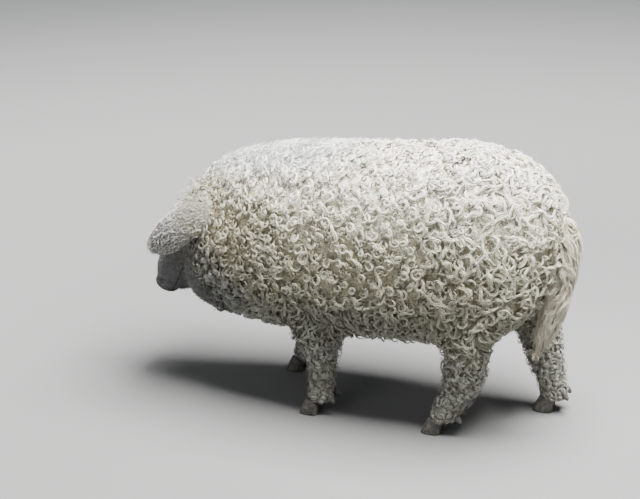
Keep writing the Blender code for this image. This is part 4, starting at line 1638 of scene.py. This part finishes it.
    @staticmethod
    def face(s: Spots) -> Array:
        """Returns 1 on the short-haired face."""
        back, _, _ = along_head(s.place)
        front = on(s.part, *HEAD) * smooth(back, *Zones.RIM) * fade(back, *Zones.FACE_BACK)
        return front * Zones.clear(s, Zones.HAIR_GAP) * (1 - 0.4 * Zones.jowl(s))

    @staticmethod
    def lid(s: Spots, eyes: dict[float, Array]) -> Array:
        """Returns 1 along the edge of the upper lids."""
        edge = np.zeros(len(s.place))
        for sign, centre in eyes.items():
            gaze, length, rise = eye_axes(sign)
            away = s.place - centre
            a, b = away @ length, away @ rise
            ring = lid_ring(a, b)
            edge += (away @ gaze > 0.0) * (b > 0.001) * (ring > 1.05) * (ring < 1.45)
        return edge

    @staticmethod
    def ear(s: Spots) -> Array:
        """Returns 1 on the ears."""
        return on(s.part, Part.EAR).astype(float)

    @staticmethod
    def ear_tone_and_shade(s: Spots) -> Array:
        """Returns how light the ears are: darker and browner by the root, and painted shade on the faces
        that turn downwards.
        """
        above = 0.6 + 0.4 * smooth(s.normal[:, 2], -0.2, 0.4)
        return 0.2 + 0.8 * fade(s.place[:, 0], *Zones.EAR_ROOT) * above

    @staticmethod
    def tail_light(s: Spots) -> Array:
        """Returns how light the tail is: darker at the tip."""
        return 0.35 + 0.65 * smooth(s.place[:, 2], *Zones.TAIL_TIP)

    @staticmethod
    def tail(s: Spots) -> Array:
        """Returns 1 on the tail."""
        return on(s.part, Part.TAIL).astype(float)


@dataclass
class Coat:
    """All the hair of the pig, kind by kind."""

    fleece: Fleece
    markings: NodeTree

    def wool(self, name: str, **looks: object) -> Material:
        """Builds one finish of hair."""
        return Wool(name, **looks).material(self.markings)

    def build(self) -> None:
        """Grows each kind of hair in its zone."""
        wool = self.wool("fleece_wool")
        caked = self.wool("caked_wool", root=0.5, streak=0.3, dirt=0.5, crust=0.35)
        brush = self.wool("crest_hair", root=0.3, streak=0.6, dull=0.42)
        self.grow_body(wool, caked)
        self.grow_throat(caked)
        self.grow_crest(brush)
        self.grow_jowls()
        self.grow_legs()
        self.grow_short()
        self.grow_loose(brush)

    def grow_body(self, wool: Material, caked: Material) -> None:
        """Grows the matted wool below, the curls, the rump's locks and the belly's clumps.

        Args:
            wool: Finish of the clean locks.
            caked: Finish of the muddy ones.
        """
        grow, z = self.fleece.grow, Zones
        under = self.wool("under_wool", root=0.36, streak=0.4, tone=(172, 160, 134), tone_share=0.35)
        grow(LockStyle("under", 0.0155, (0.028, 0.040), 0, 5, 0.0, (0.6, 1.1), core=0.0036,
                       crown=(0.30, 0.65), sway=1.8, seed=21), z.plain, under)
        curls = LockStyle("neck_curls", 0.0142, (0.044, 0.070), 4, 10, 0.00075, (0.9, 1.5), pack=0.0018,
                          core=0.0026, core_flatness=0.40, crown=(0.5, 1.0), roll=0.25, late=1.25,
                          wave=0.25, waves=1.3, sway=1.9, stray=0.8, shaded_core_light=0.25, seed=22)
        sides = replace(curls, name="side_curls", spacing=0.0174, length=(0.056, 0.098), half_width=0.0008,
                        turns=(0.8, 1.5), pack=0.0022, core=0.0031, core_flatness=0.38, wave=0.3, seed=23)
        long = LockStyle("rump_locks", 0.0156, (0.062, 0.105), 4, 8, 0.0009, (0.1, 0.8), pack=0.0024,
                         core=0.0046, core_flatness=0.24, crown=(0.4, 1.0), late=1.8, wave=0.9, waves=1.5,
                         roll=0.15, sway=1.1, stray=1.3, shaded_core_light=0.5, outline=Outline.FLAME, seed=24)
        clumps = LockStyle("belly_clumps", 0.0136, (0.034, 0.058), 3, 5, 0.0011, (0.0, 0.5), pack=0.0024,
                           core=0.0046, core_sides=4, core_flatness=0.34, crown=(0.4, 1.0), lumps=0.2,
                           wave=0.6, waves=1.2, roll=0.2, sway=0.7, stray=1.1, shaded_core_light=0.6,
                           outline=Outline.FLAME, seed=25)
        above = lambda s: z.plain(s) * (1 - z.low(s))
        grow(curls, lambda s: above(s) * z.neck(s) * (1 - z.crest(s)) * (1 - z.jowl(s)), wool)
        grow(sides, lambda s: above(s) * (1 - z.neck(s)) * (1 - z.rump(s)) * (1 - z.crest(s)), wool)
        # The rump's locks grow clear of the tail and take painted shade beside it.
        grow(long, lambda s: above(s) * z.rump(s) * z.tail_gap_and_shade(s), wool, "coat", z.tail_gap_and_shade)
        grow(clumps, lambda s: z.plain(s) * z.low(s) * (1 - z.throat(s)), caked)

    def grow_throat(self, caked: Material) -> None:
        """Grows the mud clods of the throat and the curls between them."""
        clods = self.wool("mud_clods", root=0.6, streak=0.1, dull=0.5, dirt=0.6, crust=1.0)
        self.fleece.grow(
            LockStyle("throat_clods", 0.0170, (0.014, 0.034), 0, 6, 0.0, (0.0, 0.3), core=0.0090,
                      core_sides=7, core_flatness=0.50, lumps=0.28, outline=Outline.BLUNT,
                      crown=(0.5, 1.0), sway=0.9, seed=26), Zones.throat, clods)
        self.fleece.grow(
            LockStyle("throat_curls", 0.0150, (0.028, 0.050), 3, 7, 0.0009, (0.4, 1.2), pack=0.0019,
                      core=0.0026, core_flatness=0.40, crown=(0.6, 1.05), roll=0.4, late=1.3, wave=0.3,
                      waves=1.0, sway=1.2, stray=1.0, shaded_core_light=0.3, seed=35), Zones.throat, caked)

    def grow_crest(self, brush: Material) -> None:
        """Grows the straight brush along the crest."""
        self.fleece.grow(
            LockStyle("crest_brush", 0.0079, (0.036, 0.054), 3, 5, 0.0008, (0.0, 0.15), pack=0.0020,
                      wave=0.5, waves=1.0, crown=(0.8, 1.3), rise=0.8, tuck=0.0, sway=0.6, stray=1.6,
                      seed=27),
            lambda s: Zones.plain(s) * Zones.crest(s), brush)

    def grow_jowls(self) -> None:
        """Grows the small curls of the jowls."""
        small = self.wool("jowl_wool", root=0.5, streak=0.35, dull=0.45, tone=(186, 186, 174),
                          tone_share=0.45, dirt=0.3)
        self.fleece.grow(
            LockStyle("jowl_curls", 0.0062, (0.018, 0.032), 2, 6, 0.0008, (0.5, 1.2), pack=0.0016,
                      crown=(1.0, 2.4), roll=0.8, sway=1.5, stray=1.3, seed=32), Zones.jowl, small, "face")

    def grow_legs(self) -> None:
        """Grows the legs' clumps and the curls over them."""
        legs = self.wool("leg_wool", root=0.62, streak=0.3, dirt=0.5, crust=0.7)
        self.fleece.grow(
            LockStyle("leg_clumps", 0.0112, (0.014, 0.026), 0, 4, 0.0, (0.0, 0.45), core=0.0088,
                      core_sides=5, core_flatness=0.26, lumps=0.30, outline=Outline.FLAME,
                      crown=(0.1, 0.55), wave=0.4, waves=1.0, sway=0.9, seed=28),
            Zones.leg, legs, "leg_coat")
        self.fleece.grow(
            LockStyle("leg_curls", 0.0079, (0.018, 0.036), 2, 5, 0.0009, (0.1, 0.9), pack=0.0024,
                      crown=(0.55, 1.05), roll=0.4, wave=0.5, waves=1.3, sway=1.0, stray=1.2, seed=34),
            Zones.leg, legs, "leg_coat")

    def grow_short(self) -> None:
        """Grows the straight hair of face, lids and ears, and the ears' tufts."""
        grow, z = self.fleece.grow, Zones
        short = self.wool("face_hair", root=0.6, streak=0.2, dull=0.35, tone=(200, 206, 212),
                          tone_share=0.35, dirt=0.2)
        ears = self.wool("ear_hair", root=0.8, streak=0.3, dull=0.36, tone=(250, 252, 252),
                         tone_share=0.97, dirt=0.1)
        bristle = LockStyle("face_hair", 0.0031, (0.008, 0.014), 1, 2, 0.0005, (0.0, 0.1), crown=(0.4, 0.9),
                            rise=1.0, tuck=0.0, sway=0.5, follow=False, seed=29)
        lash = replace(bristle, name="lashes", spacing=0.0016, length=(0.011, 0.017), rings=3,
                       half_width=0.00038, turns=(0.0, 0.12), crown=(1.6, 2.6), sway=0.15, seed=36)
        down = replace(bristle, name="ear_hair", spacing=0.0027, length=(0.010, 0.017), half_width=0.0004,
                       turns=(0.0, 0.12), crown=(0.8, 2.0), sway=0.45, seed=30)
        tuft = LockStyle("ear_tufts", 0.0080, (0.016, 0.026), 3, 5, 0.0005, (0.1, 0.5), pack=0.0012,
                         crown=(1.2, 3.0), tuck=0.1, wave=0.5, waves=1.3, sway=0.6, stray=1.5, seed=33)
        grow(bristle, z.face, short, "face")
        grow(lash, lambda s: z.lid(s, self.fleece.skin.eyes), ears, "face")
        grow(down, z.ear, ears, "ear", z.ear_tone_and_shade)
        grow(tuft, z.ear, ears, "ear", z.ear_tone_and_shade)

    def grow_loose(self, brush: Material) -> None:
        """Grows the loose fuzz and the tail's long locks."""
        self.fleece.grow(
            LockStyle("fuzz", 0.0200, (0.030, 0.048), 1, 5, 0.00042, (0.2, 0.7), crown=(1.1, 1.5), rise=0.9,
                      tuck=0.0, wave=0.6, waves=1.5, sway=2.0, seed=41), Zones.plain, brush)
        tail = self.wool("tail_hair", root=0.6, streak=0.35, tone=(238, 230, 208), tone_share=0.85,
                         dirt=0.15)
        self.fleece.grow(
            LockStyle("tail_locks", 0.0088, (0.060, 0.110), 5, 8, 0.0006, (0.0, 0.3), pack=0.0020,
                      core=0.0038, core_flatness=0.3, late=3.0, wave=0.35, waves=2.0, crown=(0.6, 1.0),
                      rise=0.5, tuck=0.2, sway=0.3, stray=1.8, shaded_core_light=0.5, outline=Outline.FLAME,
                      free=True, seed=31), Zones.tail, tail, "coat", Zones.tail_light)


# ---------------------------------------------------------------- eyes and claws


@dataclass
class Eyes:
    """Two wet eyeballs, each a ball with a raised clear front."""

    centres: dict[float, Array]
    bulge: float = 0.0009

    def build(self) -> None:
        """Makes both eyeballs in place of their nodes."""
        finish = WetEye().material()
        for side, sign in SIDES.items():
            centre, gaze = self.centres[sign], eye_gaze(sign)
            bpy.ops.object.select_all(action="DESELECT")
            bpy.ops.mesh.primitive_uv_sphere_add(segments=40, ring_count=28, radius=EYE_RADIUS)
            made = bpy.context.active_object
            made.name = f"eyeball_{side}"
            turn = Vector((0.0, 0.0, 1.0)).rotation_difference(Vector(gaze)).to_matrix().to_4x4()
            made.data.transform(Matrix.Translation(Vector(centre)) @ turn)
            points, _, _ = shape_arrays(made.data)
            ring = np.arccos(np.clip(unit(points - centre) @ gaze, -1.0, 1.0))
            points = points + gaze * (self.bulge * hump(ring, 0.0, 0.45))[:, None]
            set_points(made.data, points)
            set_mark(made.data, "ring", ring)
            activate(made)
            bpy.ops.object.shade_smooth()
            made.data.materials.append(finish)
            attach(made, BODY)
            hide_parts(f"eye_{side}")
            LOG.info("%s: %d faces", made.name, len(made.data.polygons))


@dataclass
class Claws:
    """Claws and dewclaws: rounded copies of their nodes with growth rings, flat on the ground."""

    voxel: float = 0.0019
    small_voxel: float = 0.0013
    rounds: int = 5
    ring_step: float = 0.0033
    ring_height: float = 0.00012
    sole_band: float = 0.0008

    def build(self) -> None:
        """Makes every claw in place of its node."""
        finish = Horn().material()
        names = [n for n in sorted(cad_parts) if n.startswith(("hoof", "dewclaw"))]
        for name in names:
            made = self.rounded(name)
            made.data.materials.clear()
            made.data.materials.append(finish)
            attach(made, BODY)
            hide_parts(name)
        LOG.info("claws: %d pieces", len(names))

    def rounded(self, name: str) -> bpy.types.Object:
        """Copies one node and rounds it.

        Args:
            name: Name of the node.

        Returns:
            The new piece.
        """
        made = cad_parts[name].copy()
        made.data = made.data.copy()
        for key in list(made.keys()):
            del made[key]
        made.parent = None
        made.name = name.replace("hoof", "claw") + "_horn"
        bpy.context.scene.collection.objects.link(made)
        activate(made)
        bpy.ops.object.mode_set(mode="EDIT")
        bpy.ops.mesh.select_all(action="SELECT")
        bpy.ops.mesh.remove_doubles(threshold=1e-6)
        bpy.ops.object.mode_set(mode="OBJECT")
        stands = name.startswith("hoof")
        fuse_voxels(made, self.voxel if stands else self.small_voxel)
        points, edges, triangles = shape_arrays(made.data)
        low = points[:, 2] < points[:, 2].min() + self.sole_band if stands else np.zeros(len(points), bool)
        points = relax(points, edges, self.rounds, np.where(low, 0.1, 0.5))
        wave = np.sin((points[:, 2] + ripple(points, 0.03, 9) * 0.001) * math.tau / self.ring_step)
        points = points + point_normals(points, triangles) * (wave * self.ring_height)[:, None]
        if stands:
            points[:, 2] = np.where(low, 0.0, np.maximum(points[:, 2], 0.0))
        set_points(made.data, points)
        made.data.update()
        activate(made)
        bpy.ops.object.shade_smooth()
        return made


# ---------------------------------------------------------------- studio


@dataclass
class Studio:
    """Pale floor, soft lights and the camera."""

    azimuth: float = 20.318
    elevation: float = 20.564
    roll: float = -1.1124
    distance: float = 3.4
    lens: float = 70.13
    target: tuple[float, float, float] = (-0.09934, 0.0, 0.42446)
    floor_half: float = 15.0

    def place_camera(self) -> None:
        """Sets up the camera that the main view is taken with."""
        a, e = math.radians(self.azimuth), math.radians(self.elevation)
        back = Vector((math.sin(a) * math.cos(e), -math.cos(a) * math.cos(e), math.sin(e)))
        lens = bpy.data.cameras.new("camera")
        lens.lens = self.lens
        lens.sensor_width = 36.0
        lens.clip_end = 100.0
        made = bpy.data.objects.new("camera", lens)
        right = Vector((math.cos(a), math.sin(a), 0.0))
        up = right.cross(-back)
        r = math.radians(self.roll)
        tilted_right = right * math.cos(r) + up * math.sin(r)
        tilted_up = up * math.cos(r) - right * math.sin(r)
        turn = Matrix((tilted_right, tilted_up, back)).transposed()
        made.matrix_world = Matrix.Translation(Vector(self.target) + back * self.distance) @ turn.to_4x4()
        bpy.context.scene.collection.objects.link(made)
        bpy.context.scene.camera = made

    def lay_floor(self) -> None:
        """Lays the floor."""
        bpy.ops.object.select_all(action="DESELECT")
        bpy.ops.mesh.primitive_plane_add(size=2.0 * self.floor_half)
        floor = bpy.context.active_object
        floor.name = "studio_floor"
        floor.data.materials.append(Paper().material())

    def hang_light(self, name: str, place: tuple[float, float, float], size: float, power: float) -> None:
        """Hangs one square soft light that points at the pig.

        Args:
            name: Name of the light.
            place: Where it hangs.
            size: Its side.
            power: Its power in watts.
        """
        lamp = bpy.data.lights.new(name, "AREA")
        lamp.shape, lamp.size, lamp.energy = "SQUARE", size, power
        made = bpy.data.objects.new(name, lamp)
        made.location = place
        made.rotation_mode = "QUATERNION"
        made.rotation_quaternion = (Vector((0.0, 0.0, 0.4)) - Vector(place)).to_track_quat("-Z", "Y")
        bpy.context.scene.collection.objects.link(made)

    def build(self) -> None:
        """Sets up camera, floor and lights."""
        self.place_camera()
        self.lay_floor()
        self.hang_light("sky_light", (0.8, 0.0, 3.2), 2.0, 1000.0)
        self.hang_light("front_light", (-1.0, -3.0, 2.2), 1.8, 23.0)
        world = bpy.data.worlds.new("studio_air")
        world.use_nodes = True
        air = world.node_tree.nodes["Background"]
        air.inputs["Color"].default_value = (0.92, 0.96, 1.0, 1.0)
        air.inputs["Strength"].default_value = 0.28
        bpy.context.scene.world = world


def main() -> None:
    """Builds the studio and the pig."""
    logging.basicConfig(level=logging.INFO, format="%(name)s: %(message)s")
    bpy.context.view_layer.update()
    Studio().build()
    markings = markings_group(CoatColours(), Borders())
    skin = Skin()
    skin.build(markings)
    LOG.info("skin: %d points", len(skin.points))
    fleece = Fleece(skin)
    Coat(fleece, markings).build()
    LOG.info("coat: %d triangles in %d pieces", fleece.triangles, len(fleece.pieces))
    Eyes(skin.eyes).build()
    Claws().build()


if __name__ == "__main__":
    main()
